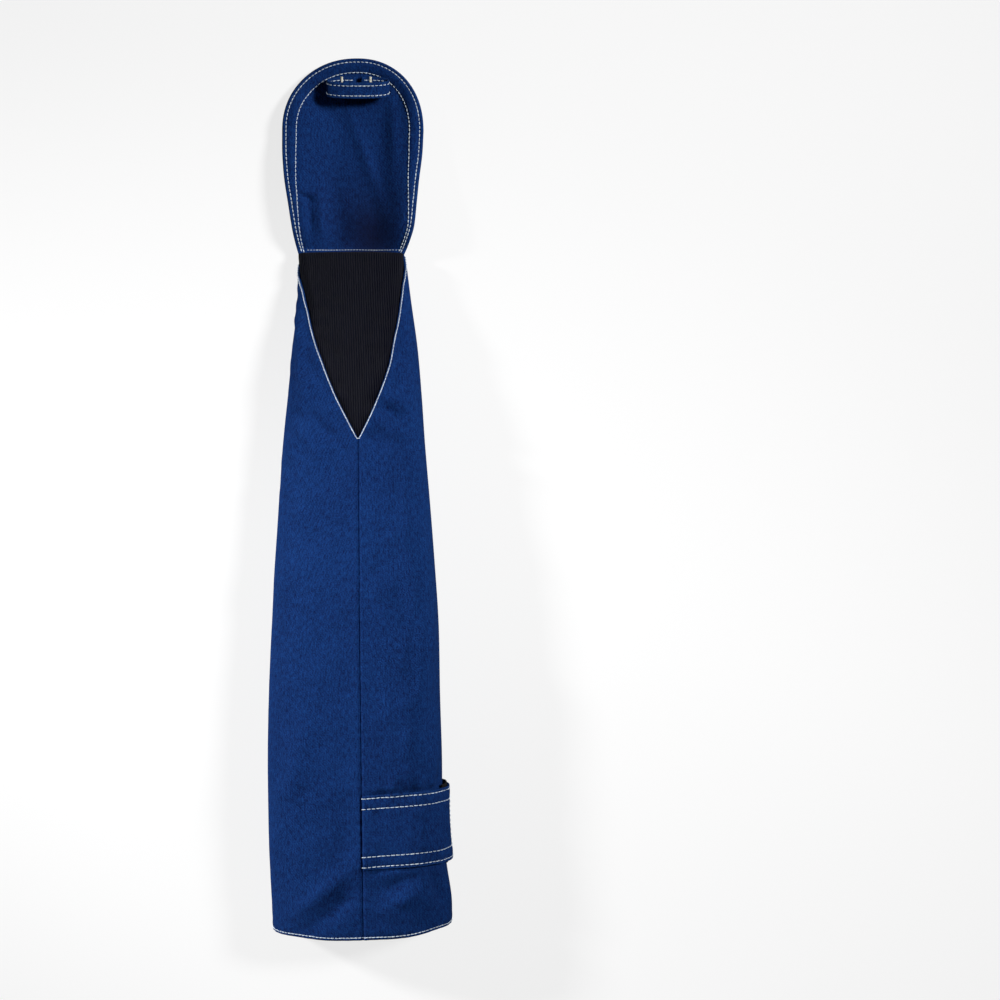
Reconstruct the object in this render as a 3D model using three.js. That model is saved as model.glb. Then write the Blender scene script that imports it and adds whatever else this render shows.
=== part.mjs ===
import * as THREE from "three";

// A heat-resistant work sleeve lying on its back, palm side up. Sizes are in millimetres.
// +Y runs along the forearm to the fingertips, +X is to the right seen from above, the table is at Z = 0.

// Thicknesses, and the gap that neighbouring pieces keep
const clothWall = 1.4;
const hemWall = 2.4;
const elasticWall = 1.2;
const coverWall = 2;
const coverRimWall = 2.8;
const bandWall = 1.6;
const strapWall = 1.8;
const tapeWall = 1.2;
const labelWall = 0.6;
const gap = 0.3;

// The tube's sections along the arm: its side edges, the height of its crown and the place of its seam
const sleeveSections = [
  { y: -300, left: -58.8, right: 62.9, crown: 50, seam: 4.1 },
  { y: -277, left: -59.7, right: 63, crown: 52, seam: 3.9 },
  { y: -252, left: -61, right: 59.4, crown: 53.5, seam: 3.6 },
  { y: -225, left: -61.9, right: 56.8, crown: 54, seam: 3.3 },
  { y: -179, left: -62.4, right: 56.3, crown: 54, seam: 2.8 },
  { y: -138, left: -61.8, right: 55, crown: 53.5, seam: 2.3 },
  { y: -89, left: -59.8, right: 54, crown: 52, seam: 1.7 },
  { y: -48, left: -57.8, right: 51.3, crown: 50, seam: 1.3 },
  { y: -7, left: -55.1, right: 48.1, crown: 47, seam: 0.8 },
  { y: 34, left: -52.5, right: 44.6, crown: 43.5, seam: 0.3 },
  { y: 67, left: -49.2, right: 42.3, crown: 40, seam: -0.8 },
  { y: 100, left: -46.2, right: 39.4, crown: 35, seam: -2.2 },
  { y: 133, left: -43, right: 34.8, crown: 28.5, seam: -3.9 },
  { y: 166, left: -43.6, right: 30.6, crown: 22, seam: -5.5 },
];
const sideShare = 0.36;
const crownBow = 0.83;
const footBow = 0.5;
const footPress = 1.06;

// The mouth's cut edge, by the share of the way round from the seam to the right
const mouthCut = [
  { share: 0, y: -300 },
  { share: 0.1, y: -298.6 },
  { share: 0.17, y: -294.4 },
  { share: 0.25, y: -293 },
  { share: 0.5, y: -295.5 },
  { share: 0.72, y: -297 },
  { share: 0.82, y: -298.4 },
  { share: 0.92, y: -300.3 },
  { share: 1, y: -300 },
];
const hemDepth = 7;
const wristEnd = 165;
const seamGroove = { depth: 0.9, reach: 2.2 };

// Folds fade out where the cloth turns under, by how much its outward direction points up
const foldFade = { gone: -0.3, whole: 0.5 };

// Soft folds of the tube: their centre along the arm and round it from the seam, half length along
// their own line, half width, the line's lean from the arm, and how far they stand out
const sleeveFolds = [
  { y: 57, round: 23, run: 15, reach: 6, lean: -60, out: -1.8 },
  { y: 46, round: 18, run: 17, reach: 6, lean: -60, out: 1.1 },
  { y: 92, round: -38, run: 30, reach: 7, lean: -6, out: 1.2 },
  { y: -61, round: 26, run: 30, reach: 13, lean: -20, out: -1.6 },
  { y: -112, round: 46, run: 30, reach: 10, lean: 10, out: 1 },
  { y: -183, round: -44, run: 30, reach: 10, lean: 15, out: 1.2 },
  { y: -194, round: 46, run: 20, reach: 6, lean: -80, out: -1.6 },
  { y: -265, round: 54, run: 18, reach: 6, lean: -33, out: -2.2 },
  { y: -274, round: 28, run: 18, reach: 7, lean: 60, out: 1.3 },
  { y: -268, round: -27, run: 28, reach: 8, lean: 49, out: 1.2 },
];

// The cut-out in the palm side that the elastic fills: its edges' distance from the seam, round the tube
const gussetEdges = [
  { y: 37, left: 0, right: 0 },
  { y: 51, left: 7, right: 7.4 },
  { y: 66, left: 14, right: 14.3 },
  { y: 87, left: 22, right: 22.5 },
  { y: 107, left: 28.6, right: 27.3 },
  { y: 127, left: 33.4, right: 32 },
  { y: 139, left: 36.4, right: 34.7 },
  { y: 147, left: 41.2, right: 37.2 },
  { y: 153, left: 45, right: 40 },
  { y: 165, left: 54, right: 47 },
];
const gussetLap = 6;
const gussetSink = 0.8;
const gussetTipFade = { start: 0.05, end: 0.25 };

// The hand cover's sides, and how far each edge curls up; past its shoulder the tip is a round arch
const coverSections = [
  { y: 165.4, left: -42.9, right: 30.6, curl: 4.8, curlRight: 4.5 },
  { y: 175, left: -45.4, right: 34.8, curl: 9, curlRight: 11.5 },
  { y: 183, left: -46.9, right: 37.3, curl: 11.5, curlRight: 14.5 },
  { y: 200, left: -49.5, right: 39.1, curl: 12.5, curlRight: 13.5 },
  { y: 216, left: -52, right: 40.6, curl: 12, curlRight: 10 },
  { y: 233, left: -53.4, right: 42.6, curl: 10.5, curlRight: 7 },
  { y: 249, left: -53.7, right: 43.4, curl: 8, curlRight: 5.5 },
];
const coverTip = 300;
const coverArch = 2.15;
const coverApex = -1.9;
const coverCorner = Math.PI / 4;
const coverSideShare = 0.68;
const coverRimReach = 9.4;
const coverRimBlend = 0.03;
const coverCentring = 40;

// The cover is a shallow dish: where its rise starts and ends from the middle to the edge, the share of
// the curl that is left at the tip, and where along the arch the tip's own values take over
const coverDish = { left: 0.1, right: 0.34, end: 0.86, tipStart: 0.78, tipEnd: 0.98, tipCurl: 0.25 };
const coverTipBlend = { dishEnd: 0.6, curlStart: 0.1, curlEnd: 0.9 };
const coverFolds = [
  { y: 228, x: 4.5, run: 36, reach: 6, lean: -19, out: 1.4 },
  { y: 246, x: 22.5, run: 28, reach: 6, lean: -1, out: 1.6 },
  { y: 188, x: -27.5, run: 16, reach: 6, lean: -2, out: 1.6 },
];
const coverFoldStart = { y: 166, whole: 186 };
const coverFoldFade = 4;

// The finger loop: a band bent to a flat ring that leans towards the wrist
const loop = { x: -1.6, y: 282, floor: 4.3, halfWidth: 20.8, halfHeight: 4.6, band: 11 };
const loopBow = 0.8;
const loopPress = 1.12;
const loopLean = 0.6;
const loopEndAngle = 0.05;

// The strap and the tapes that close it, with the way round the tube measured from the seam
const strap = { width: 50, start: 0.8, end: 86, yStart: -227.5, yEnd: -223, rampStart: 16, rampEnd: 56 };
const hookTape = { width: 49, start: 62, end: 85.5, yShift: 2.4 };
const loopPatch = { width: 50, start: 66, end: 160, yStart: -226, yEnd: -232 };
const backLabel = { start: 112, end: 172, yLow: -203, yHigh: -165, skew: 3 };

// The back is lifted off the table by the tapes under it
const backLift = { height: gap + tapeWall, yLow: -275, yHigh: -150, ramp: 26 };

// Colours by cloth
const looks = {
  blueTwill: { color: 0x17315f, roughness: 0.85, metalness: 0 },
  blackElastic: { color: 0x16181f, roughness: 0.9, metalness: 0 },
  blackTape: { color: 0x141414, roughness: 0.95, metalness: 0 },
  whiteLabel: { color: 0xe9e6ec, roughness: 0.7, metalness: 0 },
};

// How finely the tube's section is walked, and how many steps each piece has round or across, and along
const ringSteps = 240;
const steps = {
  tube: [42, 30],
  gusset: [18, 12],
  cover: [22, 22],
  loop: [44, 4],
  strap: [24, 6],
  hookTape: [10, 5],
  patch: [20, 6],
  label: [8, 5],
};
const mix = THREE.MathUtils.lerp;
const ease = THREE.MathUtils.smoothstep;

// A smooth value from one column of a table, held level past both ends
function tableValue(rows, key, column, at) {
  const last = rows.length - 1;
  if (at <= rows[0][key]) return rows[0][column];
  if (at >= rows[last][key]) return rows[last][column];
  const i = rows.findIndex((row) => row[key] >= at) - 1;
  const slope = (k) => {
    const before = rows[Math.max(k - 1, 0)];
    const after = rows[Math.min(k + 1, last)];
    return (after[column] - before[column]) / (after[key] - before[key]);
  };
  const step = rows[i + 1][key] - rows[i][key];
  const t = (at - rows[i][key]) / step;
  const rise = t * t * (3 - 2 * t);
  const bend = t * (1 - t) * step * ((1 - t) * slope(i) - t * slope(i + 1));
  return mix(rows[i][column], rows[i + 1][column], rise) + bend;
}

// How far the folds of a table stand out at a place on the cloth
function foldHeight(folds, across, y, column) {
  let height = 0;
  for (const fold of folds) {
    const lean = THREE.MathUtils.degToRad(fold.lean);
    const dx = across - fold[column];
    const dy = y - fold.y;
    const along = (dx * Math.sin(lean) + dy * Math.cos(lean)) / fold.run;
    const beside = (dx * Math.cos(lean) - dy * Math.sin(lean)) / fold.reach;
    height += fold.out * Math.exp(-along * along - beside * beside);
  }
  return height;
}

function liftAt(y) {
  const { height, yLow, yHigh, ramp } = backLift;
  const risen = ease(y, yLow - ramp / 2, yLow + ramp / 2);
  const fallen = ease(y, yHigh - ramp / 2, yHigh + ramp / 2);
  return height * risen * (1 - fallen);
}

// The tube's section as a ring of points from the seam to the right and back, with the way walked to each
const ringCache = new Map();
function ringAt(y) {
  const key = Math.round(y * 1000);
  if (ringCache.has(key)) return ringCache.get(key);
  const left = tableValue(sleeveSections, "y", "left", y);
  const right = tableValue(sleeveSections, "y", "right", y);
  const crown = tableValue(sleeveSections, "y", "crown", y);
  const seam = tableValue(sleeveSections, "y", "seam", y);
  const side = crown * sideShare;
  const lift = liftAt(y);
  const points = [];
  const walked = [];
  for (let i = 0; i <= ringSteps; i += 1) {
    const turn = (2 * Math.PI * i) / ringSteps;
    const across = Math.abs(Math.sin(turn));
    const up = Math.cos(turn);
    const reach = i <= ringSteps / 2 ? right - seam : left - seam;
    const x = seam + reach * across ** (up >= 0 ? crownBow : footBow);
    const crownHeight = side + (crown - side) * Math.abs(up) ** crownBow;
    const footHeight = side * Math.max(0, 1 - footPress * Math.abs(up) ** footBow);
    const z = lift + (up >= 0 ? crownHeight : footHeight) * (1 - lift / crown);
    const point = new THREE.Vector2(x, z);
    walked.push(i === 0 ? 0 : walked[i - 1] + point.distanceTo(points[i - 1]));
    points.push(point);
  }
  const ring = { points, walked, length: walked[ringSteps] };
  ringCache.set(key, ring);
  return ring;
}

function ringPoint(ring, round) {
  const way = THREE.MathUtils.euclideanModulo(round, ring.length);
  let low = 0;
  let high = ringSteps;
  while (high - low > 1) {
    const middle = (low + high) >> 1;
    if (ring.walked[middle] <= way) low = middle;
    else high = middle;
  }
  const share = (way - ring.walked[low]) / (ring.walked[high] - ring.walked[low]);
  return ring.points[low].clone().lerp(ring.points[high], share);
}

// A place on the tube's cloth: along the arm, round from the seam, and out from the outer face
const normalStep = 1.5;
function onSleeve(y, round, out) {
  const ring = ringAt(y);
  const point = ringPoint(ring, round);
  const before = ringPoint(ring, round - normalStep);
  const after = ringPoint(ring, round + normalStep);
  const along = after.sub(before).normalize();
  const signedRound = round > ring.length / 2 ? round - ring.length : round;
  const awayFromTable = ease(along.x, foldFade.gone, foldFade.whole);
  const reach = out + foldHeight(sleeveFolds, signedRound, y, "round") * awayFromTable;
  return new THREE.Vector3(point.x - along.y * reach, y, point.y + along.x * reach);
}

const evenShares = (count) => Array.from({ length: count + 1 }, (_, i) => i / count);

const evenGrid = (counts) => counts.map(evenShares);

// A closed sheet with two faces over a grid of shares; place gives a point for each face, 0 inside, 1 outside
function sheetGeometry(columns, rows, place, ringed = false) {
  const across = ringed ? columns.length - 1 : columns.length;
  const positions = [];
  for (const face of [0, 1]) {
    for (const row of rows) {
      for (let i = 0; i < across; i += 1) positions.push(...place(columns[i], row, face).toArray());
    }
  }
  const at = (i, j, face) => (face * rows.length + j) * across + (i % across);
  const index = [];
  const quad = (a, b, c, d) => index.push(a, b, c, a, c, d);
  const top = rows.length - 1;
  for (let i = 0; i < columns.length - 1; i += 1) {
    for (let j = 0; j < top; j += 1) {
      quad(at(i, j, 1), at(i + 1, j, 1), at(i + 1, j + 1, 1), at(i, j + 1, 1));
      quad(at(i, j, 0), at(i, j + 1, 0), at(i + 1, j + 1, 0), at(i + 1, j, 0));
    }
    quad(at(i, 0, 0), at(i + 1, 0, 0), at(i + 1, 0, 1), at(i, 0, 1));
    quad(at(i, top, 1), at(i + 1, top, 1), at(i + 1, top, 0), at(i, top, 0));
  }
  if (!ringed) {
    const end = columns.length - 1;
    for (let j = 0; j < top; j += 1) {
      quad(at(0, j, 1), at(0, j + 1, 1), at(0, j + 1, 0), at(0, j, 0));
      quad(at(end, j, 0), at(end, j + 1, 0), at(end, j + 1, 1), at(end, j, 1));
    }
  }
  const geometry = new THREE.BufferGeometry();
  geometry.setAttribute("position", new THREE.Float32BufferAttribute(positions, 3));
  geometry.setIndex(index);
  geometry.computeVertexNormals();
  return geometry;
}

function piece(name, look, geometry) {
  const mesh = new THREE.Mesh(geometry, new THREE.MeshStandardMaterial(looks[look]));
  mesh.name = name;
  return mesh;
}

// The tube's wrist edge dips to the seam along the gusset: where it crosses a share round, found by halving
const halvings = 30;
function wristEdge(share) {
  const toRight = share <= 0.5;
  const side = toRight ? "right" : "left";
  const roundShare = toRight ? share : 1 - share;
  const beyond = (y) => tableValue(gussetEdges, "y", side, y) - roundShare * ringAt(y).length;
  if (beyond(wristEnd) <= 0) return wristEnd;
  let low = gussetEdges[0].y;
  let high = wristEnd;
  for (let i = 0; i < halvings; i += 1) {
    const middle = (low + high) / 2;
    if (beyond(middle) < 0) low = middle;
    else high = middle;
  }
  return low;
}

function sleeveBody() {
  const grooveShare = seamGroove.reach / ringAt(0).length;
  const around = evenShares(steps.tube[0]).slice(1, -1);
  const columns = [0, grooveShare, ...around, 1 - grooveShare, 1];
  const hemShare = hemDepth / (wristEnd - mouthCut[0].y);
  const rows = [0, hemShare / 2, hemShare, ...evenShares(steps.tube[1]).slice(1)];
  const edges = new Map(columns.map((share) => [share, wristEdge(share)]));
  const place = (share, row, face) => {
    const y = mix(tableValue(mouthCut, "share", "y", share), edges.get(share), row);
    const wall = row < hemShare ? hemWall : clothWall;
    const atSeam = share === 0 || share === 1;
    const sunk = atSeam ? seamGroove.depth : 0;
    return onSleeve(y, share * ringAt(y).length, (face === 1 ? 0 : -wall) - sunk);
  };
  return piece("sleeve_body", "blueTwill", sheetGeometry(columns, rows, place, true));
}

// Elastic behind the cut-out's edges, lapped under the cloth all round
function wristGusset() {
  const outerFace = -clothWall - gussetSink;
  const low = gussetEdges[0].y - gussetLap;
  const place = (share, row, face) => {
    const y = mix(low, wristEnd, row);
    const left = -tableValue(gussetEdges, "y", "left", y) - gussetLap;
    const right = tableValue(gussetEdges, "y", "right", y) + gussetLap;
    const nearTip = 1 - ease(row, gussetTipFade.start, gussetTipFade.end);
    const sunk = face === 1 ? outerFace : outerFace - elasticWall;
    return onSleeve(y, mix(left, right, share), sunk - seamGroove.depth * nearTip);
  };
  return piece("wrist_gusset", "blackElastic", sheetGeometry(...evenGrid(steps.gusset), place));
}

const shoulder = coverSections[coverSections.length - 1];
const coverTall = coverTip - shoulder.y;

// The reach of the tip's arch from its apex to the shoulder on one side
function archReach(toLeft) {
  return toLeft ? coverApex - shoulder.left : shoulder.right - coverApex;
}

function coverArchPoint(angle) {
  const bow = 2 / coverArch;
  const across = Math.cos(angle);
  const x = coverApex + archReach(across < 0) * Math.sign(across) * Math.abs(across) ** bow;
  return new THREE.Vector2(x, shoulder.y + coverTall * Math.sin(angle) ** bow);
}

// The cover's side edge from the wrist to the corner of its tip
function coverSide(side, share) {
  if (share < coverSideShare) {
    const y = mix(coverSections[0].y, shoulder.y, share / coverSideShare);
    return new THREE.Vector2(tableValue(coverSections, "y", side, y), y);
  }
  const turn = (coverCorner * (share - coverSideShare)) / (1 - coverSideShare);
  return coverArchPoint(side === "right" ? turn : Math.PI - turn);
}

// A point of the cover's plan, blended from its four edges
function coverPlan(share, row) {
  const base = coverSide("left", 0).lerp(coverSide("right", 0), share);
  const tip = coverArchPoint(mix(Math.PI - coverCorner, coverCorner, share));
  const sides = coverSide("left", row).lerp(coverSide("right", row), share);
  const cornersBase = coverSide("left", 0).lerp(coverSide("right", 0), share);
  const cornersTip = coverSide("left", 1).lerp(coverSide("right", 1), share);
  const ends = base.lerp(tip, row);
  return sides.add(ends).sub(cornersBase.lerp(cornersTip, row));
}

// How near a place is to the cover's edge: 0 on the middle line and 1 on the edge
function coverEdgeShare(plan) {
  if (plan.y > shoulder.y) {
    const across = Math.abs(plan.x - coverApex) / archReach(plan.x < coverApex);
    const up = (plan.y - shoulder.y) / coverTall;
    return (across ** coverArch + up ** coverArch) ** (1 / coverArch);
  }
  const left = tableValue(coverSections, "y", "left", plan.y);
  const right = tableValue(coverSections, "y", "right", plan.y);
  const middle = mix((left + right) / 2, coverApex, ease(plan.y, shoulder.y - coverCentring, shoulder.y));
  return Math.abs(plan.x - middle) / (plan.x < middle ? middle - left : right - middle);
}

// Height of the cover's back over the table: the dish, then the folds in its middle
function coverRise(plan, edgeShare) {
  const left = tableValue(coverSections, "y", "left", plan.y);
  const right = tableValue(coverSections, "y", "right", plan.y);
  const toRight = ease(plan.x, left, right);
  const up = Math.max(0, (plan.y - shoulder.y) / coverTall);
  const toTip = ease(up, 0, coverTipBlend.dishEnd);
  const leftCurl = tableValue(coverSections, "y", "curl", plan.y);
  const rightCurl = tableValue(coverSections, "y", "curlRight", plan.y);
  const tipCurl = mix(1, coverDish.tipCurl, ease(up, coverTipBlend.curlStart, coverTipBlend.curlEnd));
  const curl = mix(leftCurl, rightCurl, toRight) * tipCurl;
  const start = mix(mix(coverDish.left, coverDish.right, toRight), coverDish.tipStart, toTip);
  const end = mix(coverDish.end, coverDish.tipEnd, toTip);
  const free = ease(plan.y, coverFoldStart.y, coverFoldStart.whole) * (1 - edgeShare ** coverFoldFade);
  return Math.max(0, curl * ease(edgeShare, start, end) + foldHeight(coverFolds, plan.x, plan.y, "x") * free);
}

function handCover() {
  const rimShare = 1 - (2 * coverRimReach) / (shoulder.right - shoulder.left);
  const place = (share, row, face) => {
    const plan = coverPlan(share, row);
    const edgeShare = coverEdgeShare(plan);
    const inRim = ease(edgeShare, rimShare - coverRimBlend, rimShare + coverRimBlend);
    const wall = mix(coverWall, coverRimWall, inRim);
    return new THREE.Vector3(plan.x, plan.y, coverRise(plan, edgeShare) + face * wall);
  };
  return piece("hand_cover", "blueTwill", sheetGeometry(...evenGrid(steps.cover), place));
}

function fingerLoop() {
  const place = (share, row, face) => {
    const turn = mix(-Math.PI / 2 - loopEndAngle, (-5 * Math.PI) / 2 + loopEndAngle, share);
    const across = Math.sign(Math.cos(turn)) * Math.abs(Math.cos(turn)) ** loopBow;
    const rise = Math.abs(Math.sin(turn)) ** loopBow;
    const up = Math.sin(turn) >= 0 ? rise : -Math.min(1, loopPress * rise);
    const grow = face === 1 ? bandWall / 2 : -bandWall / 2;
    const height = (loop.halfHeight + grow) * up + loop.halfHeight + bandWall / 2;
    const y = loop.y + mix(-loop.band / 2, loop.band / 2, row) - loopLean * height;
    return new THREE.Vector3(loop.x + (loop.halfWidth + grow) * across, y, loop.floor + height);
  };
  return piece("finger_loop", "blueTwill", sheetGeometry(...evenGrid(steps.loop), place));
}

// How far the strap's inner face stands off the tube, over the tapes at its free end
function strapStandOff(round) {
  return gap + 2 * (tapeWall + gap) * ease(round, strap.rampStart, strap.rampEnd);
}

// The strap's middle line along the arm, by the way round
function strapMiddle(round) {
  return mix(strap.yStart, strap.yEnd, (round - strap.start) / (strap.end - strap.start));
}

function armStrap() {
  const place = (share, row, face) => {
    const round = mix(strap.start, strap.end, share);
    const y = strapMiddle(round) + (row - 0.5) * strap.width;
    return onSleeve(y, round, strapStandOff(round) + face * strapWall);
  };
  return piece("arm_strap", "blueTwill", sheetGeometry(...evenGrid(steps.strap), place));
}

function strapHookTape() {
  const place = (share, row, face) => {
    const round = mix(hookTape.start, hookTape.end, share);
    const y = strapMiddle(round) + hookTape.yShift + (row - 0.5) * hookTape.width;
    return onSleeve(y, round, strapStandOff(round) - gap - (1 - face) * tapeWall);
  };
  return piece("strap_hook_tape", "blackTape", sheetGeometry(...evenGrid(steps.hookTape), place));
}

function closingPatch() {
  const place = (share, row, face) => {
    const round = mix(loopPatch.start, loopPatch.end, share);
    const y = mix(loopPatch.yStart, loopPatch.yEnd, share) + (row - 0.5) * loopPatch.width;
    return onSleeve(y, round, gap + face * tapeWall);
  };
  return piece("loop_patch", "blackTape", sheetGeometry(...evenGrid(steps.patch), place));
}

function blankLabel() {
  const place = (share, row, face) => {
    const y = mix(backLabel.yLow, backLabel.yHigh, row) - backLabel.skew * share;
    return onSleeve(y, mix(backLabel.start, backLabel.end, share), gap + face * labelWall);
  };
  return piece("blank_label", "whiteLabel", sheetGeometry(...evenGrid(steps.label), place));
}

const sleeve = new THREE.Group();
sleeve.add(sleeveBody(), wristGusset(), handCover(), fingerLoop());
sleeve.add(armStrap(), strapHookTape(), closingPatch(), blankLabel());

export default sleeve;
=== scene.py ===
import math

import bpy
import numpy as np
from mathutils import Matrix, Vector


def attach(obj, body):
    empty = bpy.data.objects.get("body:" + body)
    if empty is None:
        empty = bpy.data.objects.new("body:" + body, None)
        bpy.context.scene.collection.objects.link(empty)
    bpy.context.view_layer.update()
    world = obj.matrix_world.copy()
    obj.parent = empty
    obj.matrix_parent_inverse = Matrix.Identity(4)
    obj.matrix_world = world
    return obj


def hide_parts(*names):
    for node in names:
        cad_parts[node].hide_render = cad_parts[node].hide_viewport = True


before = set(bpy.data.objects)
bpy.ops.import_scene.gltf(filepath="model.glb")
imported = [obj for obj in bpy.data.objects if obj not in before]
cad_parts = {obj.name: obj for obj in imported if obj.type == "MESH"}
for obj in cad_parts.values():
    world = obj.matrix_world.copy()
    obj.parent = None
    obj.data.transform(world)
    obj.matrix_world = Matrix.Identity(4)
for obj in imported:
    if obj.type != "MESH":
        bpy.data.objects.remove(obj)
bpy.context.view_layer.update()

mm = 0.001
soften = np.random.default_rng(11)


waveSize = 60.0  # mm of wavelength to a mm of height


# small maths on arrays

def mix(a, b, share):
    return a + (b - a) * share


def ease(value, low, high):
    t = np.clip((value - low) / (high - low), 0.0, 1.0)
    return t * t * (3.0 - 2.0 * t)


def bump(value, middle, width):
    return np.exp(-((value - middle) / width) ** 2)


def tableValue(rows, key, column, at):
    keys = np.array([row[key] for row in rows], float)
    values = np.array([row[column] for row in rows], float)
    before = np.maximum(np.arange(len(rows)) - 1, 0)
    after = np.minimum(np.arange(len(rows)) + 1, len(rows) - 1)
    slopes = (values[after] - values[before]) / (keys[after] - keys[before])
    at = np.clip(at, keys[0], keys[-1])
    i = np.clip(np.searchsorted(keys, at, side="right") - 1, 0, len(rows) - 2)
    step = keys[i + 1] - keys[i]
    t = (at - keys[i]) / step
    bend = t * (1 - t) * step * ((1 - t) * slopes[i] - t * slopes[i + 1])
    return mix(values[i], values[i + 1], t * t * (3 - 2 * t)) + bend


def foldHeight(folds, across, y, column):
    height = 0.0
    for fold in folds:
        lean = math.radians(fold["lean"])
        dx = across - fold[column]
        dy = y - fold["y"]
        along = (dx * math.sin(lean) + dy * math.cos(lean)) / fold["run"]
        beside = (dx * math.cos(lean) - dy * math.sin(lean)) / fold["reach"]
        height = height + fold["out"] * np.exp(-along ** 2 - beside ** 2)
    return height


def drawWaves(count, shortest, longest):
    # ripples of the cloth: direction, wavelength and phase of each
    angle = soften.uniform(0, math.pi, count)
    length = soften.uniform(shortest, longest, count)
    phase = soften.uniform(0, 2 * math.pi, count)
    return angle, length, phase


def waveHeight(waves, a, b):
    height = 0.0
    for angle, length, phase in zip(*waves):
        way = (a * math.cos(angle) + b * math.sin(angle)) * 2 * math.pi / length
        height = height + np.sin(way + phase) * length / waveSize
    return height / math.sqrt(len(waves[0]))


def edgeSteps(length, fine, step):
    # distances across a strip: a few close to both ends, then even ones
    near = np.array(fine, float)
    count = max(2, int(round((length - 2 * near[-1]) / step)))
    middle = np.linspace(near[-1], length - near[-1], count + 1)[1:-1]
    return np.concatenate([near, middle, length - near[::-1]])


def roundEdge(distance, wall):
    # half-round edge: 0 at the very edge, 1 from half a wall inwards
    inward = np.clip(distance / (wall / 2), 0.0, 1.0)
    return np.sqrt(np.clip(1 - (1 - inward) ** 2, 0.0, 1.0))


# node helpers

def put(tree, kind, inputs=None, **settings):
    made = tree.nodes.new(kind)
    for name, value in settings.items():
        setattr(made, name, value)
    for key, value in (inputs or {}).items():
        if isinstance(value, bpy.types.NodeSocket):
            tree.links.new(value, made.inputs[key])
        else:
            made.inputs[key].default_value = value
    return made


def calc(tree, operation, a, b=0.0):
    return put(tree, "ShaderNodeMath", {0: a, 1: b}, operation=operation).outputs[0]


# camera, table and light

studio = {
    "cameraPlace": (95.95, -4.45, 1700.0),  # mm
    "frameWidth": 690.8,  # mm seen at the table
    "sensor": 36.0,
    "farthest": 50.0,
    "tableColor": (0.2, 0.2, 0.2),
    "tableRoughness": 0.9,
    "tableGlow": 0.77,
    "tableHalf": 12.0,
    "tableLow": -0.0002,  # just under the cloth
    "skyColor": (0.90, 0.95, 1.0),
    "skyStrength": 0.05,
}
lamps = [
    {
        "name": "keySpot", "place": (2.12, 0.9, 1.93), "aim": (0, 0.1, 0),
        "size": 0.4, "power": 460.0, "cone": 25.5, "blend": 1.0,
    },
    {
        "name": "fillSpot", "place": (-2.1, 0.8, 0.95), "aim": (0, -0.175, 0.03),
        "size": 0.16, "power": 330.0, "cone": 15.5, "blend": 0.4,
    },
]


def makeCamera():
    data = bpy.data.cameras.new("photoCamera")
    data.sensor_width = studio["sensor"]
    data.lens = studio["sensor"] * studio["cameraPlace"][2] / studio["frameWidth"]
    data.clip_end = studio["farthest"]
    camera = bpy.data.objects.new("photoCamera", data)
    camera.location = [value * mm for value in studio["cameraPlace"]]
    bpy.context.collection.objects.link(camera)
    bpy.context.scene.camera = camera


def makeTable():
    half, low = studio["tableHalf"], studio["tableLow"]
    mesh = bpy.data.meshes.new("table")
    corners = [(-half, -half, low), (half, -half, low), (half, half, low), (-half, half, low)]
    mesh.from_pydata(corners, [], [(0, 1, 2, 3)])
    table = bpy.data.objects.new("table", mesh)
    bpy.context.collection.objects.link(table)
    paint = bpy.data.materials.new("tablePaint")
    paint.use_nodes = True
    shader = paint.node_tree.nodes["Principled BSDF"]
    shader.inputs["Base Color"].default_value = (*studio["tableColor"], 1)
    shader.inputs["Roughness"].default_value = studio["tableRoughness"]
    shader.inputs["Emission Color"].default_value = (1, 1, 1, 1)
    seen = put(paint.node_tree, "ShaderNodeLightPath").outputs["Is Camera Ray"]
    glow = calc(paint.node_tree, "MULTIPLY", seen, studio["tableGlow"])
    paint.node_tree.links.new(glow, shader.inputs["Emission Strength"])
    mesh.materials.append(paint)


def makeLight():
    for lamp in lamps:
        data = bpy.data.lights.new(lamp["name"], "SPOT")
        data.energy = lamp["power"]
        data.shadow_soft_size = lamp["size"]
        data.spot_size = math.radians(lamp["cone"])
        data.spot_blend = lamp["blend"]
        light = bpy.data.objects.new(lamp["name"], data)
        light.location = lamp["place"]
        aim = Vector(lamp["aim"]) - light.location
        light.rotation_euler = aim.to_track_quat("-Z", "Y").to_euler()
        bpy.context.collection.objects.link(light)
    world = bpy.data.worlds.new("studioSky")
    world.use_nodes = True
    sky = world.node_tree.nodes["Background"]
    sky.inputs["Color"].default_value = (*studio["skyColor"], 1)
    sky.inputs["Strength"].default_value = studio["skyStrength"]
    bpy.context.scene.world = world
    bpy.context.scene.view_settings.view_transform = "Standard"


makeCamera()
makeTable()
makeLight()
print("camera and studio ready")


# materials

def newGroup(name, inputs, outputs):
    tree = bpy.data.node_groups.new(name, "ShaderNodeTree")
    for title, kind, value in inputs:
        socket = tree.interface.new_socket(title, in_out="INPUT", socket_type=kind)
        if value is not None:
            socket.default_value = value
    for title, kind in outputs:
        tree.interface.new_socket(title, in_out="OUTPUT", socket_type=kind)
    return tree, tree.nodes.new("NodeGroupInput").outputs, tree.nodes.new("NodeGroupOutput").inputs


twill = {"repeat": 4, "floatShape": 0.55}  # threads in one step of the diagonal, roundness of a float


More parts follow.
